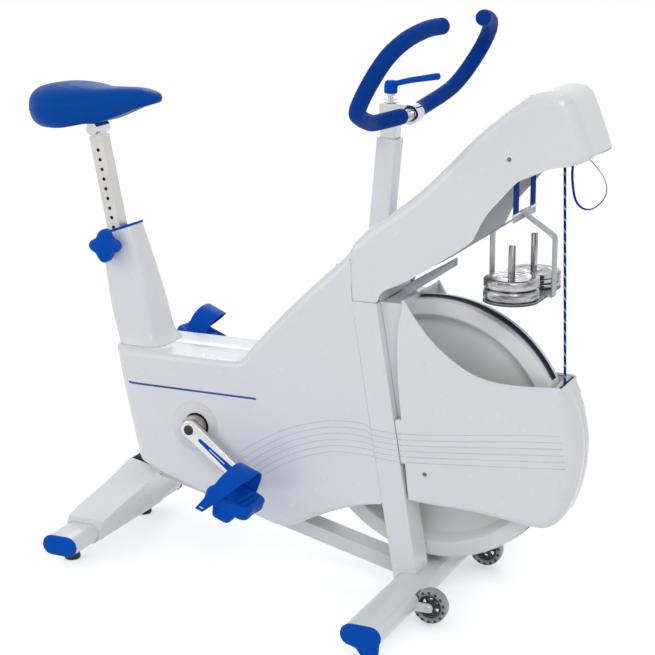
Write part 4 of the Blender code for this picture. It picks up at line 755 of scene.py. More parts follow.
def make_camera():
    """The photograph's view: the camera's place, the way it looks and its focal length in pixels."""
    focal_pixels, picture_pixels, sensor = 1702.84, 655, 36.0
    data = bpy.data.cameras.new("photo_view")
    data.sensor_width = sensor
    data.lens = focal_pixels / picture_pixels * sensor
    data.shift_x, data.shift_y = -0.0024, -0.001
    data.clip_end = 50.0
    camera = in_scene("photo_view", data)
    around, above, roll = radians(24.62), radians(14.35), radians(-0.19)
    right = np.array([cos(around), sin(around), 0.0])
    back = np.array([sin(around) * cos(above), -cos(around) * cos(above), sin(above)])
    camera.matrix_world = facing((1.3997, -2.9414, 1.3442), right, back) @ Matrix.Rotation(roll, 4, "Z")
    bpy.context.scene.camera = camera


# The cords

def make_cords():
    """The brake cord from the belt's end up to the pulley, and the pull strap's loop at the nose."""
    pulley_side = PULLEY_X + PULLEY_GROOVE + CORD_RADIUS + LAP
    foot_x = WHEEL_X + WHEEL_RADIUS + LAP + BELT_THICK + CORD_RADIUS + 0.0002
    route = [(foot_x, 0, WHEEL_Z - 0.012), (foot_x, 0, WHEEL_Z + 0.012), (0.533, 0, 0.4575),
             ((0.533 + pulley_side) / 2, 0, 0.69275), (pulley_side, 0, PULLEY_Z)]
    line = softened(route, 0.012, 3, closed=False, extra=[0, 2, 8, 8, 0])
    sides = 14
    shape = skin(swept(line, circle(CORD_RADIUS, sides)), uv=(np.linspace(0, 1, sides + 1), run_of(line)))
    cord = piece("brake_cord_braid", [(shape, cord_braid)], "frame", replaces=["brake_cord"])

    route = [(0.5380, 0, 0.9297), (0.5365, 0, 0.900), (0.5350, -0.001, 0.870), (0.5352, -0.003, 0.842),
             (0.5420, -0.004, 0.806), (0.5560, -0.004, 0.790), (0.5740, -0.003, 0.790),
             (0.5920, -0.001, 0.806), (0.5985, 0, 0.826), (0.5930, 0, 0.846), (0.5780, 0, 0.866),
             (0.5600, 0, 0.884), (0.5480, 0, 0.905), (0.5470, 0, 0.9297)]
    line = flowing(route, 64)
    turn = np.linspace(0, 1, len(line))[:, None]
    # The ribbon leans a little about its own line on the way round the loop
    lean = np.hstack([np.sin(2 * pi * turn) * 0.5, np.ones_like(turn), np.sin(pi * turn) * 0.2])
    wide = 0.0060
    section = strip_section(wide, 0.0012)
    ribbon = skin(swept(line, section, lean), uv=(np.r_[section[:, 0], section[:1, 0]], run_of(line)))
    loop = piece("pull_strap_ribbon", [(ribbon, blue_tape)], "frame", replaces=["pull_strap"])


# Shells

def rows_of(outline, soft, hard=0.004, corners=()):
    """Outline rows with both roundings and the corner reach: `soft`, or `hard` at the named corners."""
    return [(x, z, r[0] if r else 0.0, r[-1] if r else 0.0, hard if k in corners else soft)
            for k, (x, z, *r) in enumerate(outline)]


def make_rear_casing():
    seam = [(leg_x(z) - LEG_HALF - 0.0007, z, 0.0) for z in (0.2035, 0.596)]
    outline = [(-0.3555, 0.2150, 0.060, 0.012), (-0.262, 0.1900, 0.012), (-0.240, 0.184, 0.012),
               (-0.060, 0.132, 0.012), (-0.006, 0.117, 0.012), (0.060, 0.152, 0.012), (0.130, 0.184, 0.010),
               *seam, (0.1397, 0.655, 0.0), (0.1397, 0.699, 0.0, 0.016), (0.122, 0.677, 0.020),
               (0.080, 0.641, 0.022), (0.041, 0.604, 0.022), (-0.024, 0.542, 0.022), (-0.088, 0.468, 0.020),
               (-0.094, 0.459, 0.018), (-0.104, 0.4515, 0.016), (-0.116, DECK_Z, 0.014),
               (-0.322, DECK_Z, 0.014), (-0.4035, DECK_Z, 0.014, 0.060), (-0.3927, 0.386, 0.060),
               (-0.3797, 0.320, 0.060)]
    rows = rows_of(outline, 0.05, 0.005, (0, 7, 10, 20))
    # The sides from these rows on meet the legs and the head cover, and are open
    meeting = (7, 8, 9)

    def wheel_slot(x, y, z):
        return (y < 0.032) & (np.hypot(x - WHEEL_X, z - WHEEL_Z) < WHEEL_RADIUS + 0.008)

    hollow = [(0.052, 0), (0.0515, 0.0004), (0.049, 0.0016), (0.044, 0.0028), (0.034, 0.0036),
              (0.0285, 0.0038), (0.0270, 0.0046), (0.0266, 0.0080)]
    for side, word in SIDES:
        panel("rear_casing_shell_" + word, rows, lambda x: SHELL_HALF + 0 * x, side, open_sides=meeting,
              levels=(0.032,), gap=wheel_slot, dish=(CRANK_X, CRANK_Z, hollow),
              replaces=["rear_casing_" + word])


def casing_y(x, z):
    """The casing's side at a place: flat, then falling away round its rear corner."""
    rear = np.interp(z, [0.2150, 0.320, 0.386, DECK_Z], [-0.3555, -0.3797, -0.3927, -0.4035])
    turn = np.clip(1 - (x - rear) / 0.060, 0, 1)
    return SHELL_HALF - 0.060 * (1 - np.sqrt(1 - turn ** 2))


def make_guard():
    outline = [(0.2572, 0.2165, 0.006), (0.288, 0.212, 0.008), (0.394, 0.204, 0.010), (0.452, 0.191, 0.014),
               (0.484, 0.184, 0.018), (0.512, 0.181, 0.018), (0.531, 0.189, 0.018), (0.546, 0.204, 0.022),
               (0.558, 0.228, 0.026), (0.568, 0.258, 0.030), (0.5765, 0.303, 0.030), (0.578, 0.345, 0.030),
               (0.573, 0.383, 0.030), (0.562, 0.421, 0.026), (0.547, 0.450, 0.016), (0.5405, 0.461, 0.006),
               (0.516, 0.4615, 0.006), (0.484, 0.4600, 0.006), (0.447, 0.4605, 0.006), (0.411, 0.4640, 0.006),
               (0.374, 0.4760, 0.006), (0.345, 0.4945, 0.006), (0.317, 0.5165, 0.006), (0.294, 0.5400, 0.006),
               (0.275, 0.5640, 0.006), (0.260, 0.5860, 0.006), (0.245, 0.6095, 0.004), (0.233, 0.550, 0.004),
               (0.235, 0.453, 0.004), (0.247, 0.336, 0.004)]
    # The upper edge, over the wheel, is open between these two rows
    first, last = 15, 26
    rows = rows_of(outline, 0.05, 0.003, (0, first, last))
    foot, top = [(leg_x(z) + LEG_HALF + 0.0007, z) for z in (0.2185, 0.5970)]
    groove = rows_of([foot, (0.260, 0.2185), (0.253, 0.336), (0.241, 0.453), (0.239, 0.550), (0.244, 0.5970),
                      top], 0.02, 0.001, (0, 1, 5, 6))
    lip = softened(np.array(rows)[first - 1:last + 1, :2], 0.05, 5, closed=False)[3:]
    for side, word in SIDES:
        panel("wheel_guard_shell_" + word, rows, guard_half, side, open_sides=range(first, last),
              replaces=["wheel_guard_" + word])
        panel("guard_groove_" + word, groove, lambda x: 0.074 + 0 * x, side, open_sides=(1, 2, 3, 4, 6), stages=2)
        start, end = [(leg_x(z) + LEG_HALF + 0.0012, z) for z in (0.290, 0.376)]
        bridge = softened([start, (0.2560, 0.290), (0.2480, 0.376), end], [0.001, 0.001, 0.006, 0.006], 4)
        piece("guard_bridge_" + word, [(slab(bridge, side * 0.076, side * 0.0944, 0.0015), white_shell)], "frame")
        path = xyz(lip[:, 0], side * (guard_half(lip[:, 0]) - 0.0022), lip[:, 1] - 0.0005)
        bead = softened([(-0.0022 * side, -0.0014), (0.0027 * side, -0.0014), (0.0027 * side, 0.0042),
                         (-0.0022 * side, 0.0042)], 0.0020, 4)
        piece("guard_lip_" + word, [(skin(swept(path, bead)), white_shell)], "frame")


def make_head_cover():
    lower = [(0.1400, 0.5982), (0.1925, 0.5982), (0.200, 0.6210), (0.238, 0.637), (0.278, 0.661), (0.324, 0.692),
             (0.351, 0.709), (0.378, 0.730), (0.400, 0.777), (0.424, 0.804), (0.456, 0.841), (0.466, 0.847),
             (0.493, 0.859), (0.523, 0.872), (0.546, 0.875)]
    upper = [(0.568, 0.879, 0.012), (0.591, 0.892, 0.030), (0.556, 0.984, 0.030), (0.545, 0.998, 0.026),
             (0.530, 1.005, 0.024), (0.508, 1.0065, 0.024), (0.489, 1.003, 0.024), (0.469, 0.995, 0.024),
             (0.422, 0.959, 0.024), (0.379, 0.922, 0.024), (0.322, 0.862, 0.024), (0.264, 0.805, 0.024),
             (0.215, 0.768, 0.024), (0.162, 0.731, 0.022), (0.1400, 0.7045, 0.016, 0.0)]
    rows = rows_of(lower + upper, 0.05, 0.006, (0, 1, 7, 16, 29))
    open_sides = set(range(len(lower) + 1)) | {len(rows) - 1}
    panel("head_cover_shell", rows, hood_half, 0, start=0.0, open_sides=open_sides, replaces=["head_cover"])
    # A moulded collar where the post comes through
    ring = softened([(-0.0222, -0.0225), (0.0222, -0.0225), (0.0222, 0.0225), (-0.0222, 0.0225)], 0.004, 4)
    rings = [xyz(post_x(z) + ring[:, 0] * grow, ring[:, 1] * grow, z + 0.70 * ring[:, 0])
             for z, grow in ((0.7290, 1.0), (0.7330, 1.0), (0.7340, 0.96))]
    piece("post_collar", [(skin(np.array(rings)), white_shell)], "frame")


def make_arm_rail():
    """The grey rail under the head's sloping arm, seen below the cover's edge. Its grey is painted shade, for the
    hood's inner flange lying in shadow there.
    """
    rail = softened([(0.2422, 0.6122), (0.3328, 0.6732), (0.3326, 0.6882), (0.2299, 0.6265)], 0.002, 4)
    piece("arm_shade_rail", [(slab(rail, -0.060, -0.040, 0.0012), painted_shade_grey)], "frame")


def make_seat_cover():
    """Superellipse rings of power 4 up the seat tube: x = a |cos|^1/2, y = b |sin|^1/2, signed."""
    levels = flowing([(0.4494, -0.4030, -0.300, 0.060), (0.462, -0.4085, -0.311, 0.055),
                      (0.480, -0.4150, -0.318, 0.052), (0.530, -0.4288, -0.328, 0.047),
                      (0.610, -0.4430, -0.350, 0.038), (0.677, -0.4475, -0.3755, 0.032)], 40)
    t = full_turn(64)
    c, s = np.cos(t), np.sin(t)
    across, beside = np.sign(c) * np.sqrt(np.abs(c)), np.sign(s) * np.sqrt(np.abs(s))
    z, rear, front, half = levels.T
    tip = np.clip((z - 0.600) / 0.077, 0, 1) ** 2

    def rings(inset):
        u = across[None] * ((front - rear) / 2 - inset)[:, None]
        x = ((front + rear) / 2)[:, None] + u
        return xyz(x, beside[None] * (half - inset)[:, None], z[:, None] + 0.35 * u * tip[:, None])

    outer = rings(0.0)
    near_top = outer[-2:-1] * 0.3 + outer[-1:] * 0.7
    shape = skin(np.concatenate([outer[:-1], near_top, rings(0.0008)[-1:], rings(0.003)[-1:]]))
    piece("seat_tube_shell", [(shape, white_shell)], "frame", 50, replaces=["seat_tube_cover"])


def make_ribs():
    """Six fine ribs that run across guard, leg and casing, and the blue tape on the casing's side.

    Each run has half the width there, the top rib's line and the bottom one's, and each rib lies a
    share of the way from the one to the other.
    """
    bead = strip_section(0.0008, 0.0014)
    runs = ((lambda x, z: guard_half(x),
             [(0.2370, 0.3490), (0.3086, 0.3524), (0.4147, 0.3617), (0.4900, 0.3680), (0.5420, 0.3710)],
             [(0.2370, 0.2930), (0.3090, 0.2958), (0.4160, 0.3007), (0.4900, 0.3045), (0.5540, 0.3080)]),
            (lambda x, z: 0.096 + 0 * x, [(leg_x(0.349) - LEG_HALF, 0.3510), (leg_x(0.349) + LEG_HALF, 0.3490)],
             [(leg_x(0.294) - LEG_HALF, 0.2952), (leg_x(0.294) + LEG_HALF, 0.2932)]),
            (casing_y,
             [(leg_x(0.351) - LEG_HALF - 0.0015, 0.3520), (0.1631, 0.3599), (0.1005, 0.3573), (0.0269, 0.3376),
              (-0.0384, 0.3065), (-0.1000, 0.2672)],
             [(leg_x(0.296) - LEG_HALF - 0.0015, 0.2970), (0.1700, 0.2982), (0.1003, 0.2946), (0.0263, 0.2703),
              (-0.0394, 0.2326), (-0.0900, 0.1900)]))
    for side, word in SIDES:
        shapes = []
        for half, top, low in runs:
            for share in np.linspace(0, 1, 6):
                line = flowing(np.array(top) * (1 - share) + np.array(low) * share, 40)
                path = xyz(line[:, 0], side * (half(line[:, 0], line[:, 1]) + 0.0001), line[:, 1])
                # The ribs' darker finish is painted shade.
                shapes.append((skin(swept(path, bead)), painted_rib_shade))
        piece("shell_ribs_" + word, shapes, "frame")
        x, z = np.linspace(-0.3536, -0.0627, 60), 0.381
        path = xyz(x, side * (casing_y(x, z) + 0.0002), z)
        piece("side_tape_" + word, [(skin(swept(path, strip_section(0.0004, 0.0042, 0.3))), blue_film)], "frame")


def screw(x, y, z, side):
    """A pan head with its washer, standing off a side face."""
    radius = 0.0042

    def at(height):
        return side * (y + height)

    head = turning([(0, at(0)), (radius, at(0)), (radius, at(0.0004)), (radius * 0.8, at(0.0016)), (0, at(0.0020))],
                   (x, 0, z), "Y", 20)
    washer = turning([(radius, at(0)), (radius * 1.7, at(0)), (radius * 1.7, at(0.0003)),
                      (radius * 1.3, at(0.0009)), (radius, at(0.0009))], (x, 0, z), "Y", 24)
    return [(head, screw_plate), (washer, white_shell)]


def plug(x, y, z, side, radius=0.0062):
    """A shallow moulded button that closes a hole."""
    def at(height):
        return side * (y + height)

    return [(turning([(0, at(0)), (radius, at(0)), (radius, at(0.0003)), (radius * 0.7, at(0.0008)),
                      (0, at(0.0005))], (x, 0, z), "Y", 24), white_shell)]


def make_fasteners():
    for side, word in SIDES:
        parts = screw(0.444, hood_half(0.444), 0.883, side) + screw(0.2905, guard_half(0.2905), 0.2732, side)
        parts += plug(-0.317, SHELL_HALF, 0.407, side) + plug(-0.0040, SHELL_HALF, 0.4832, side)
        parts += plug(0.080, SHELL_HALF, 0.235, side, 0.005)
        parts += plug(0.2835, guard_half(0.2835), 0.491, side, 0.0055)
        parts += plug(0.5410, guard_half(0.541), 0.279, side, 0.005)
        piece("shell_fasteners_" + word, parts, "frame")


# The drive

def make_flywheel():
    side = [(0.0064, 0.026), (0.030, 0.026), (0.034, 0.0045), (0.040, 0.0033), (0.206, 0.0033), (0.214, 0.0045),
            (0.2265, 0.0265), (0.2295, 0.028), (0.2545, 0.028), (0.257, 0.0258)]
    profile = [(r, -h) for r, h in side] + side[::-1]
    shape = turning(profile, (WHEEL_X, 0, WHEEL_Z), "Y", 160, ease=0.0022)
    piece("flywheel_casting", [(shape, cast_enamel)], "flywheel", 40, replaces=["flywheel"])


def make_belt():
    angle = np.radians(np.linspace(28, 352, 150))
    radius = WHEEL_RADIUS + LAP + BELT_THICK / 2
    line = xyz(WHEEL_X + radius * np.cos(angle), 0, WHEEL_Z + radius * np.sin(angle))
    piece("brake_belt_weave", [(strap(line, BELT_WIDE, BELT_THICK), belt_weave)], "frame", replaces=["brake_belt"])


def crank_end(side):
    """Centre of a pedal axle in the side view."""
    reach = -side * CRANK_LENGTH
    return CRANK_X + reach * cos(CRANK_ANGLE), CRANK_Z + reach * sin(CRANK_ANGLE)


def long_eye(start, end, big, small, steps=14):
    """Two circles and the straight sides between them, as one anticlockwise outline."""
    along = atan2(end[1] - start[1], end[0] - start[0])
    a = np.linspace(along + pi / 2, along + 3 * pi / 2, steps)
    b = np.linspace(along - pi / 2, along + pi / 2, steps)
    return np.vstack([xyz(start[0] + big * np.cos(a), start[1] + big * np.sin(a)),
                      xyz(end[0] + small * np.cos(b), end[1] + small * np.sin(b))])


def make_cranks():
    for side, word in SIDES:
        hub, end = np.array([CRANK_X, CRANK_Z]), np.array(crank_end(side))
        way = unit(end - hub)

        def at(height):
            return side * (CRANK_OUT + height)

        def turned(rows, center, sides=32):
            return turning([(r, at(h)) for r, h in rows], (center[0], 0, center[1]), "Y", sides)

        arm = slab(long_eye(hub, end, 0.019, 0.014), side * CRANK_IN, at(0), 0.0035, 4)
        inlay = slab(long_eye(hub + way * 0.031, hub + way * 0.146, 0.0036, 0.0088, 8), at(0), at(0.0005), 0.0001, 1)
        slit = slab(long_eye(hub + way * 0.058, hub + way * 0.098, 0.0009, 0.0011, 6), at(0), at(0.0008), 0.0001, 1)
        boss = turned([(0, 0), (0.0140, 0), (0.0136, 0.0008), (0.0108, 0.0010), (0, 0.0010)], hub, 40)
        cap = turned([(0, 0), (0.0105, 0), (0.0105, 0.0016), (0.0088, 0.0026), (0.0045, 0.0032), (0, 0.0030)], hub)
        eye = turned([(0, 0), (0.0088, 0), (0.0084, 0.0010), (0.0045, 0.0012), (0.0040, 0.0004), (0, 0.0004)], end)
        axle = turned([(0, -0.010), (0.0065, -0.010), (0.0065, 0.1062), (0.0058, 0.107), (0, 0.107)], end, 28)
        piece("crank_forging_" + word,
              [(arm, polished_alloy), (boss, polished_alloy), (inlay, blue_nylon), (slit, white_inlay),
               (cap, black_rubber), (eye, drawn_steel), (axle, drawn_steel)], "cranks",
              replaces=["crank_arm_" + word])


PEDAL_TILT = {"right": radians(20), "left": radians(23)}
STRAP_RISE = {"right": 0.050, "left": 0.054}


def make_pedals():
    """A platform with four bars and a toe under its outer half, and an arched strap over it.

    The platform's outline is a superellipse of power 5, drawn in between its corners by cos 4t. The
    strap leans back and narrows as it comes down on the outer side, and ends below the platform in
    a tail with a slot.
    """
    t = full_turn(96)
    power = (np.abs(np.cos(t)) ** 5 + np.abs(np.sin(t)) ** 5) ** (-1 / 5)
    waist = 1 - 0.075 * (1 + np.cos(4 * t)) / 2
    plan = xyz(0.051 * power * waist * np.cos(t), 0.045 * power * waist * np.sin(t))
    levels = ((-0.0130, 0.012), (-0.0140, 0.008), (-0.0132, 0.0035), (-0.0110, 0.0010), (-0.0080, 0),
              (0.0080, 0), (0.0110, 0.0010), (0.0132, 0.0035), (0.0140, 0.008), (0.0126, 0.0115),
              (0.0106, 0.014), (0.0100, 0.018))
    for side, word in SIDES:
        x, z = crank_end(side)
        y = side * PEDAL_Y

        def tip(shape, coat=blue_nylon):
            return tilted(shape, (x, z), PEDAL_TILT[word]), coat

        rings = np.array([xyz(*((1 - inset / 0.044) * plan.T + [[x], [y]]), z + level) for level, inset in levels])
        shapes = [tip(skin(rings))]
        for step in (-0.030, -0.018, 0.018, 0.030):
            bar = [(x + step, y + out, z + 0.0108) for out in (-0.028, 0, 0.028)]
            shapes.append(tip(rod(bar, 0.0030, 12, (0, 0, 1), 0.0026)))
        toe = softened([(x - 0.020, z - 0.036), (x + 0.016, z - 0.036), (x + 0.026, z - 0.010),
                        (x - 0.026, z - 0.010)], 0.008, 4)
        shapes.append(tip(slab(toe, y + side * 0.012, y + side * 0.040, 0.004)))
        piece("pedal_body_" + word, shapes, word + "_pedal", replaces=["pedal_" + word])

        foot, shoulder, thick, widest, count = z - 0.014, z + 0.014, 0.003, 0.046, 60
        crown, reach = shoulder + STRAP_RISE[word] + thick / 2, 0.0453 + thick / 2
        a = np.linspace(0, pi, count)
        over = xyz(-reach * np.cos(a), shoulder + (crown - shoulder) * np.sqrt(np.sin(a)))[::side]
        line = np.vstack([[(-side * reach, foot)], over, [(side * (reach + 0.001), foot - 0.018)]])
        line = evenly(xyz(x, y + line[:, 0], line[:, 1]), count)
        along = np.linspace(-1, 1, count)
        out = np.clip(along - 0.1, 0, 1)
        line[:, 0] -= 0.052 * out ** 1.3
        wide = widest - 0.006 * along ** 2 - 0.026 * out
        section = strip_section(1.0, thick / widest)
        normal = np.cross(unit(np.gradient(line, axis=0)), np.array([1.0, 0, 0]))
        grid = (line[:, None] + section[None, :, :1] * wide[:, None, None] * np.array([1.0, 0, 0])
                + section[None, :, 1:] * widest * normal[:, None])
        slot = evenly([line[-3] + [-0.004, side * 0.0017, 0], line[-3] + [0.004, side * 0.0017, 0]], 6)
        shapes = [tip(skin(grid)), tip(rod(slot, 0.0012, 10, (0, 0, 1)), white_inlay)]
        piece("pedal_toe_strap_" + word, shapes, word + "_pedal", replaces=["pedal_strap_" + word])


# Feet and transport wheels

def make_floor_pieces():
    for side, word in SIDES:
        foot = [(0, 0), (0.0145, 0), (0.0165, 0.002), (0.0165, 0.0085), (0.0150, 0.0118), (0.0080, 0.0135),
                (0.0060, 0.0150), (0.0060, 0.0347), (0, 0.0347)]
        piece("levelling_foot_" + word, [(turning(foot, (REAR_FOOT_X, side * REAR_FOOT_Y, 0), "Z", 36, 0.0006),
                                           black_rubber)], "frame", replaces=["rear_foot_" + word])
        x, y, z = TRANSPORT_X, side * TRANSPORT_Y, TRANSPORT_Z
        tyre = [(0.0225, -0.0084), (0.0250, -0.0112), (0.0310, -0.0120), (0.0335, -0.0085), (0.0335, 0.0085),
                (0.0310, 0.0120), (0.0250, 0.0112), (0.0225, 0.0084)]
        rim = [(0.0178, -0.0070), (0.0226, -0.0090), (0.0226, 0.0090), (0.0178, 0.0070)]
        hub = [(0.0044, -0.0095), (0.0088, -0.0095), (0.0095, -0.0070), (0.0095, 0.0070), (0.0088, 0.0095),
               (0.0044, 0.0095)]
        shapes = [(turning(tyre, (x, y, z), "Y", 48, 0.0012), grey_tyre),
                  (turning(rim, (x, y, z), "Y", 40, 0.0008), dark_moulding),
                  (turning(hub, (x, y, z), "Y", 32, 0.0006), dark_moulding)]

        def radial(a, near, far, wide, deep, rounding):
            """A bar lying along a radius, as wide at its foot as at its end."""
            way, off, c = np.array([cos(a), sin(a)]), np.array([-sin(a), cos(a)]) * wide, np.array([x, z])
            corners = [c + way * near - off, c + way * far - off, c + way * far + off, c + way * near + off]
            return slab(corners, y - deep, y + deep, rounding, 1)

        shapes += [(radial(2 * pi * k / 6, 0.0085, 0.0190, 0.0027, 0.0055, 0.0008), dark_moulding) for k in range(6)]
        shapes += [(radial(2 * pi * (k + 0.5) / 14, 0.0262, 0.0314, 0.0030, 0.0124, 0.0006), dark_moulding)
                   for k in range(14)]
        piece("transport_wheel_moulding_" + word, shapes, word + "_transport_wheel",
              replaces=["transport_wheel_" + word])
        head = side * 0.1745
        bolt = turning([(0, head), (0.0068, head), (0.0068, head + side * 0.0022), (0.0056, head + side * 0.0032),
                        (0, head + side * 0.0032)], (x, 0, z), "Y", 24)
        pin = turning([(0, -0.0026), (0.0050, -0.0026), (0.0050, 0.0004), (0, 0.0004)],
                      (-0.455, side * 0.100, 0.0790), "Z", 20)
        piece("foot_fasteners_" + word, [(bolt, drawn_steel), (pin, screw_plate)], "frame")


# The rider's contacts

def make_saddle():
    """Rings across the saddle's length: y = half |cos|^3/4, the top crowned, the skirt drawn in.

    Both ends close in as an ellipse over the last centimetre or so.
    """
    stations = flowing([(-0.597, 0.026, 0.948, 0.906), (-0.590, 0.052, 0.957, 0.897),
                        (-0.572, 0.080, 0.966, 0.888), (-0.540, 0.103, 0.971, 0.882),
                        (-0.505, 0.107, 0.971, 0.881), (-0.480, 0.096, 0.969, 0.885), (-0.440, 0.066, 0.965, 0.896),
                        (-0.400, 0.043, 0.966, 0.910), (-0.360, 0.031, 0.966, 0.926),
                        (-0.330, 0.025, 0.960, 0.935), (-0.3145, 0.014, 0.951, 0.940)], 70)
    x, half, crown, skirt = (column[:, None] for column in stations.T)
    closing = np.sqrt(np.clip(1 - (1 - np.clip((x - x[0]) / 0.013, 0, 1)) ** 2, 0, 1))
    closing *= np.sqrt(np.clip(1 - (1 - np.clip((x[-1] - x) / 0.010, 0, 1)) ** 2, 0, 1))
    closing = 0.12 + 0.88 * closing
    t = full_turn(80)[None]
    c, s = np.cos(t), np.sin(t)
    edge = crown - (crown - skirt) * 0.50
    y = half * np.sign(c) * np.abs(c) ** 0.75
    upper = edge + (crown - edge) * np.clip(s, 0, 1) ** 0.9
    floor_z = np.where(np.abs(y) < half * 0.75, np.maximum(skirt, 0.8945), skirt)
    lower = edge - (edge - floor_z) * np.minimum(1, np.abs(s) * 1.25)
    z = np.where(s >= 0, upper, lower)
    # A welt a third of the way down the skirt
    welt = 1 + 0.0010 / np.maximum(half, 0.02) * np.exp(-((s + 0.16) / 0.045) ** 2)
    grid = xyz(x, y * closing * welt, edge + (z - edge) * closing)
    saddle = piece("saddle_cover", [(skin(grid), blue_vinyl)], "saddle", 60, replaces=["saddle"])
    smooth = saddle.modifiers.new("soft", "SUBSURF")
    smooth.levels = smooth.render_levels = 1


def make_seat_knob():
    rows = [(-0.0153, 0.005, 0), (-0.034, 0.005, 0), (-0.034, 0.0098, 0), (-0.046, 0.0098, 0), (-0.0462, 0.0235, 0.16),
            (-0.0468, 0.0262, 0.17), (-0.0490, 0.0288, 0.18), (-0.0530, 0.0290, 0.18), (-0.0640, 0.0290, 0.18),
            (-0.0680, 0.0280, 0.18), (-0.0720, 0.0252, 0.17), (-0.0750, 0.0212, 0.16), (-0.0764, 0.0170, 0.06),
            (-0.0762, 0.0135, 0.02), (-0.0770, 0.0115, 0), (-0.0778, 0.0095, 0), (-0.0780, 0.0050, 0)]
    t = full_turn(96)
    y, radius, lobes = (column[:, None] for column in np.array(rows).T)
    reach = radius * (1 + lobes * np.cos(4 * t)[None])
    grid = xyz(seat_x(KNOB_Z) + reach * np.cos(t), y, KNOB_Z + reach * np.sin(t))
    piece("seat_pull_knob", [(skin(grid), blue_nylon)], "seat_knob", replaces=["seat_knob"])


def bar_route(side, count=160):
    """The bar from the clamp out to the side, up and forward, and in again at the top."""
    route = [(0.0, 0.0, 0.0), (0.0, 0.012, 0.0), (-0.0003, 0.020, 0.0), (-0.007, 0.040, -0.001),
             (-0.0195, 0.074, -0.004), (-0.0305, 0.116, -0.005), (-0.0245, 0.160, 0.004),
             (-0.0165, 0.200, 0.014), (-0.007, 0.240, 0.029), (0.0125, 0.260, 0.059),
             (0.0385, 0.264, 0.101), (0.0585, 0.250, 0.133), (0.0735, 0.218, 0.154),
             (0.0825, 0.180, 0.1645), (0.0895, 0.140, 0.1700), (0.1005, 0.098, 0.1715)]
    return flowing([(BAR_X + x, side * y, BAR_Z + z) for x, y, z in route], count)


def make_handlebar():
    whole = np.vstack([bar_route(RIGHT)[:0:-1], bar_route(LEFT)])
    total = run_of(whole)[-1]
    bar = at_runs(whole, np.linspace(0.012, total - 0.012, 200))
    piece("handlebar_tube", [(rod(bar, BAR_RADIUS, 24, (0.3, 0, 1)), chrome)], "handlebar",
          replaces=["handlebar_bar"])
    for side, word in SIDES:
        route = bar_route(side)
        own = run_of(route)
        start = own[int(np.argmax(np.abs(route[:, 1]) > 0.029))]
        line = at_runs(route, np.linspace(start, own[-1] - 0.0015, 150))
        piece("foam_grip_" + word, [(rod(line, GRIP_RADIUS, 32, (0.3, 0, 1), 0.0090), blue_foam)], "handlebar", 60,
              replaces=["grip_" + word])


def make_lever():
    hub = [(0.0055, -0.006), (0.0112, -0.006), (0.0124, -0.0045), (0.0128, 0.0), (0.0124, 0.010), (0.0108, 0.0165),
           (0.0070, 0.0188), (0.0020, 0.0190), (0.0020, 0.001), (0.0055, 0.001)]
    lid = [(0, 0.0184), (0.0030, 0.0184), (0.0030, 0.0190), (0, 0.0190)]
    place = (LEVER_X, 0, LEVER_Z)
    line = flowing([(LEVER_X + 0.004, 0, LEVER_Z + 0.011), (LEVER_X + 0.040, 0, LEVER_Z + 0.020),
                    (LEVER_X + 0.098, 0, LEVER_Z + 0.030)], 30)
    line, size = eased_ends(line, 0.0070, 0.0060)
    along = np.linspace(0, 1, len(line))
    arm = skin(swept(line, circle(0.0068, 20) * [1.15, 1.0], (0, 1, 0), size * (0.80 + 0.20 * along ** 2)))
    nut = turning([(0, -0.0065), (0.0078, -0.0065), (0.0078, -0.0100), (0, -0.0100)], place, "Z", 6)
    piece("clamp_lever_moulding", [(turning(hub, place, "Z", 36, 0.0008), blue_nylon),
                                   (turning(lid, place, "Z", 24), blue_nylon), (arm, blue_nylon), (nut, chrome)],
          "clamp_lever", replaces=["clamp_lever"])
    washers = [(turning([(0.0052, h), (0.0125, h), (0.0125, h + 0.0016), (0.0052, h + 0.0016)], (LEVER_X, 0, 0),
                        "Z", 32), chrome) for h in (BAR_Z + 0.0190, BAR_Z + 0.0240)]
    piece("clamp_washers", washers, "stem")


# Head, pulley, straps, basket and discs

def make_pulley():
    side = [(0, 0.0740), (0.0060, 0.0740), (0.0060, 0.0665), (0.0365, 0.0665), (0.0385, 0.0650), (0.0385, 0.0130),
            (0.0370, 0.0115), (PULLEY_GROOVE, 0.0050)]
    profile = [(r, -h) for r, h in side] + side[::-1]
    piece("head_roller", [(turning(profile, (PULLEY_X, 0, PULLEY_Z), "Y", 72, 0.0008), drawn_steel)], "head_pulley",
          replaces=["head_pulley"])


def make_basket_straps():
    """Each strap's part over the pulley stays put; its hanging part, down to the basket, gets a mesh of its own."""
    radius = PULLEY_RADIUS + LAP + STRAP_THICK / 2
    a, z = np.linspace(pi / 2, pi, 20), np.linspace(PULLEY_Z, 0.7806, 24)
    for side, word in SIDES:
        y = side * STRAP_Y
        over = xyz(PULLEY_X + radius * np.cos(a), y, PULLEY_Z + radius * np.sin(a))
        down = xyz(BASKET_X, y, z)
        turn, fall = [[(strap(line, STRAP_WIDE, STRAP_THICK), blue_tape)] for line in (over, down)]
        piece("basket_strap_turn_" + word, turn, "frame")
        drop = piece("basket_strap_drop_" + word, fall, "frame",
                     replaces=["basket_strap_" + word])
        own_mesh(drop)


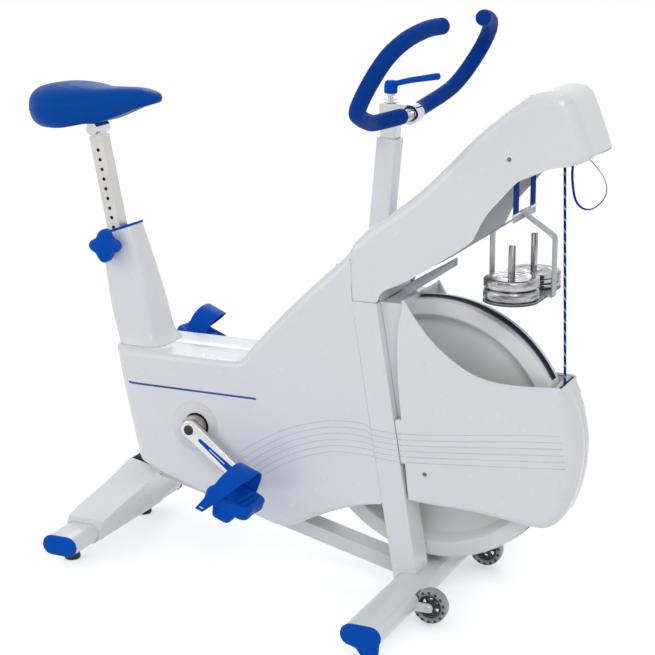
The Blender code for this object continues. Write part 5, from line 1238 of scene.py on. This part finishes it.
def make_basket():
    x, high, reach = BASKET_X, 0.780, 0.0600
    low = high - 0.016
    parts = [(block((x - 0.0015, -0.064, low), (x + 0.0015, 0.064, high)), zinc_sheet)]
    for way in (-1, 1):
        line = softened([(x, 0, low + 0.0085), (x + way * reach, 0, 0.7330), (x + way * reach, 0, 0.6225)], 0.007, 6,
                        closed=False, extra=[6, 10, 0])
        parts.append((strap(line, 0.024, 0.003, 0.3), zinc_sheet))
    parts.append((block((x - reach - 0.0012, -0.012, TRAY_LOW + 0.0001),
                        (x + reach + 0.0012, 0.012, TRAY_TOP - 0.0001)), zinc_sheet))
    t = full_turn(96)
    ends = np.where(np.sin(t) > -1e-9, DISC_Y, -DISC_Y)
    plan = xyz(DISC_RADIUS * np.cos(t), DISC_RADIUS * np.sin(t) + ends)

    def tray(levels):
        return skin(np.array([xyz(*((1 - inset / DISC_RADIUS) * plan.T + [[x], [0]]), z) for z, inset in levels]))

    parts.append((tray(((TRAY_LOW, 0.0008), (TRAY_LOW + 0.0005, 0.0), (TRAY_SEAM, 0.0))), dark_sheet))
    parts.append((tray(((TRAY_SEAM, 0.0001), (TRAY_TOP - 0.0004, 0.0001), (TRAY_TOP, 0.0006))), zinc_sheet))
    for side in (RIGHT, LEFT):
        peg = [(0, TRAY_LOW + 0.001), (0.0065, TRAY_LOW + 0.001), (0.0065, 0.7222), (0.0052, 0.7240), (0, 0.7240)]
        parts.append((turning(peg, (x, side * DISC_Y, 0), "Z", 32), peg_chrome))
        pin = evenly([(x, side * STRAP_Y - 0.018, 0.7775), (x, side * STRAP_Y + 0.018, 0.7775)], 6)
        parts.append((rod(pin, 0.0026, 14, (1, 0, 0)), chrome))
    piece("basket_hanger", parts, "basket", replaces=["basket_frame"])


def make_discs():
    """Turned discs: a raised rim and boss on each face, the rim's band crowned, a fine gap under each."""
    gap = 0.0003
    stacks = (("right", RIGHT, 0.0203, ("lower", "upper")), ("left", LEFT, 0.0090, ("lower", "middle", "upper")))
    for word, side, high, names in stacks:
        e, r = high * 0.27, DISC_RADIUS
        half = [(0.0069, 0.0004), (0.0150, 0.0), (0.0160, 0.0008), (0.0340, 0.0008), (0.0352, 0.0),
                (r - e, 0.0), (r - e * 0.45, e * 0.28), (r - e * 0.10, e * 0.75), (r, high * 0.40)]
        profile = half + [(a, high - h) for a, h in half[::-1]]
        for k, level in enumerate(names):
            z = TRAY_TOP + gap + k * (high + gap)
            piece("chromed_disc_%s_%s" % (word, level),
                  [(turning(profile, (BASKET_X, side * DISC_Y, z), "Z", 96, 0.0006), dark_reflection_chrome)],
                  "%s_%s_disc" % (word, level), 40, replaces=["weight_%s_%s" % (word, level)])


def carry_frame():
    """The frame's own tubes: welded copies of the nodes with eased corners, or the nodes themselves."""
    for coat, width, names in (
            (white_paint, 0.0028, "main_beam rear_leg handlebar_post"),
            (white_shell, 0.0040, "fork_leg_right fork_leg_left"), (white_paint, 0.0008, "head_arm"),
            (white_paint, 0.0005, "front_support_tube rear_support_tube"),
            (blue_nylon, 0.0016, "front_cap_right front_cap_left rear_cap_right rear_cap_left"),
            (blue_nylon, 0.0010, "seat_bushing"), (worn_bracket, 0.0006, "belt_bracket"),
            (post_plate, 0.0007, "seat_post"), (chrome, 0.0008, "saddle_clamp handlebar_clamp"),
            (chrome, 0.0022, "handlebar_stem")):
        for node in names.split():
            carried(node, coat, width)
    for node, coat in (("seat_tube", white_paint), ("crank_housing", white_paint), ("flywheel_axle", drawn_steel),
                       ("chain", oiled_steel), ("drive_sprocket", oiled_steel), ("crank_spindle", drawn_steel),
                       ("chainring", bearing_steel)):
        item = frame["nodes"][node]
        for place in item.material_slots:
            place.material = coat


# The studio

def make_studio():
    """A pale floor that keeps the shadow, white for the camera, and soft lamps at a plain level."""
    reach, pale_from, white_from = 9, 1.3, 2.5
    mesh = bpy.data.meshes.new("studio_floor")
    mesh.from_pydata([(-reach, -reach, 0), (reach, -reach, 0), (reach, reach, 0), (-reach, reach, 0)], [],
                     [(0, 1, 2, 3)])
    in_scene("studio_floor", mesh)
    material = bpy.data.materials.new("studio paper")
    material.use_nodes = True
    tree = material.node_tree
    tree.nodes.clear()

    def shown():
        """One where the camera, a reflection or a glass looks straight at the backdrop."""
        light = add(tree, "ShaderNodeLightPath").outputs
        return calc(tree, "MAXIMUM", calc(tree, "MAXIMUM", light["Is Camera Ray"], light["Is Glossy Ray"]),
                    light["Is Transmission Ray"])

    paper = add(tree, "ShaderNodeBsdfDiffuse", {"Color": (0.93, 0.93, 0.935, 1)}).outputs[0]
    glow = add(tree, "ShaderNodeEmission", {"Color": (1, 1, 1, 1), "Strength": 0.42}).outputs[0]
    both = add(tree, "ShaderNodeAddShader", {0: paper, 1: glow}).outputs[0]
    white = add(tree, "ShaderNodeEmission", {"Color": (1, 1, 1, 1), "Strength": 1.0}).outputs[0]
    # Away from the middle the paper turns into plain white
    place = add(tree, "ShaderNodeTexCoord").outputs["Object"]
    far = add(tree, "ShaderNodeVectorMath", {0: place}, operation="LENGTH").outputs["Value"]
    both = add(tree, "ShaderNodeMixShader", {0: ramp(tree, far, pale_from, white_from), 1: both, 2: white}).outputs[0]
    seen = add(tree, "ShaderNodeMixShader", {0: shown(), 1: paper, 2: both}).outputs[0]
    add(tree, "ShaderNodeOutputMaterial", {0: seen})
    mesh.materials.append(material)

    world = bpy.data.worlds.new("studio")
    bpy.context.scene.world = world
    world.use_nodes = True
    tree = world.node_tree
    tree.nodes.clear()
    ambient = add(tree, "ShaderNodeBackground", {"Color": (0.86, 0.88, 0.93, 1), "Strength": 0.58}).outputs[0]
    white = add(tree, "ShaderNodeBackground", {"Color": (1, 1, 1, 1), "Strength": 1.0}).outputs[0]
    add(tree, "ShaderNodeOutputWorld",
        {0: add(tree, "ShaderNodeMixShader", {0: shown(), 1: ambient, 2: white}).outputs[0]})

    for name, place, aim, size, power in (
            ("key", (1.9, -2.6, 2.7), (0.05, 0, 0.45), 1.6, 31), ("fill", (-2.6, -2.2, 1.9), (-0.1, 0, 0.5), 2.0, 18),
            ("top", (0.0, 0.4, 3.2), (0.0, 0, 0.5), 2.2, 9), ("rim", (-1.2, 2.6, 2.2), (0, 0, 0.6), 1.6, 14)):
        data = bpy.data.lights.new(name, "AREA")
        data.energy, data.size = power, size
        away = unit(np.array(place) - np.array(aim))
        in_scene(name, data).matrix_world = facing(place, unit(np.cross([0, 0, 1], away)), away)
    bpy.context.scene.view_settings.view_transform = "Standard"


make_camera()
make_cords()
make_rear_casing()
make_guard()
make_head_cover()
make_arm_rail()
make_seat_cover()
make_ribs()
make_fasteners()
make_flywheel()
make_belt()
make_cranks()
make_pedals()
make_floor_pieces()
make_saddle()
make_seat_knob()
make_handlebar()
make_lever()
make_pulley()
make_basket_straps()
make_basket()
make_discs()
carry_frame()
make_studio()
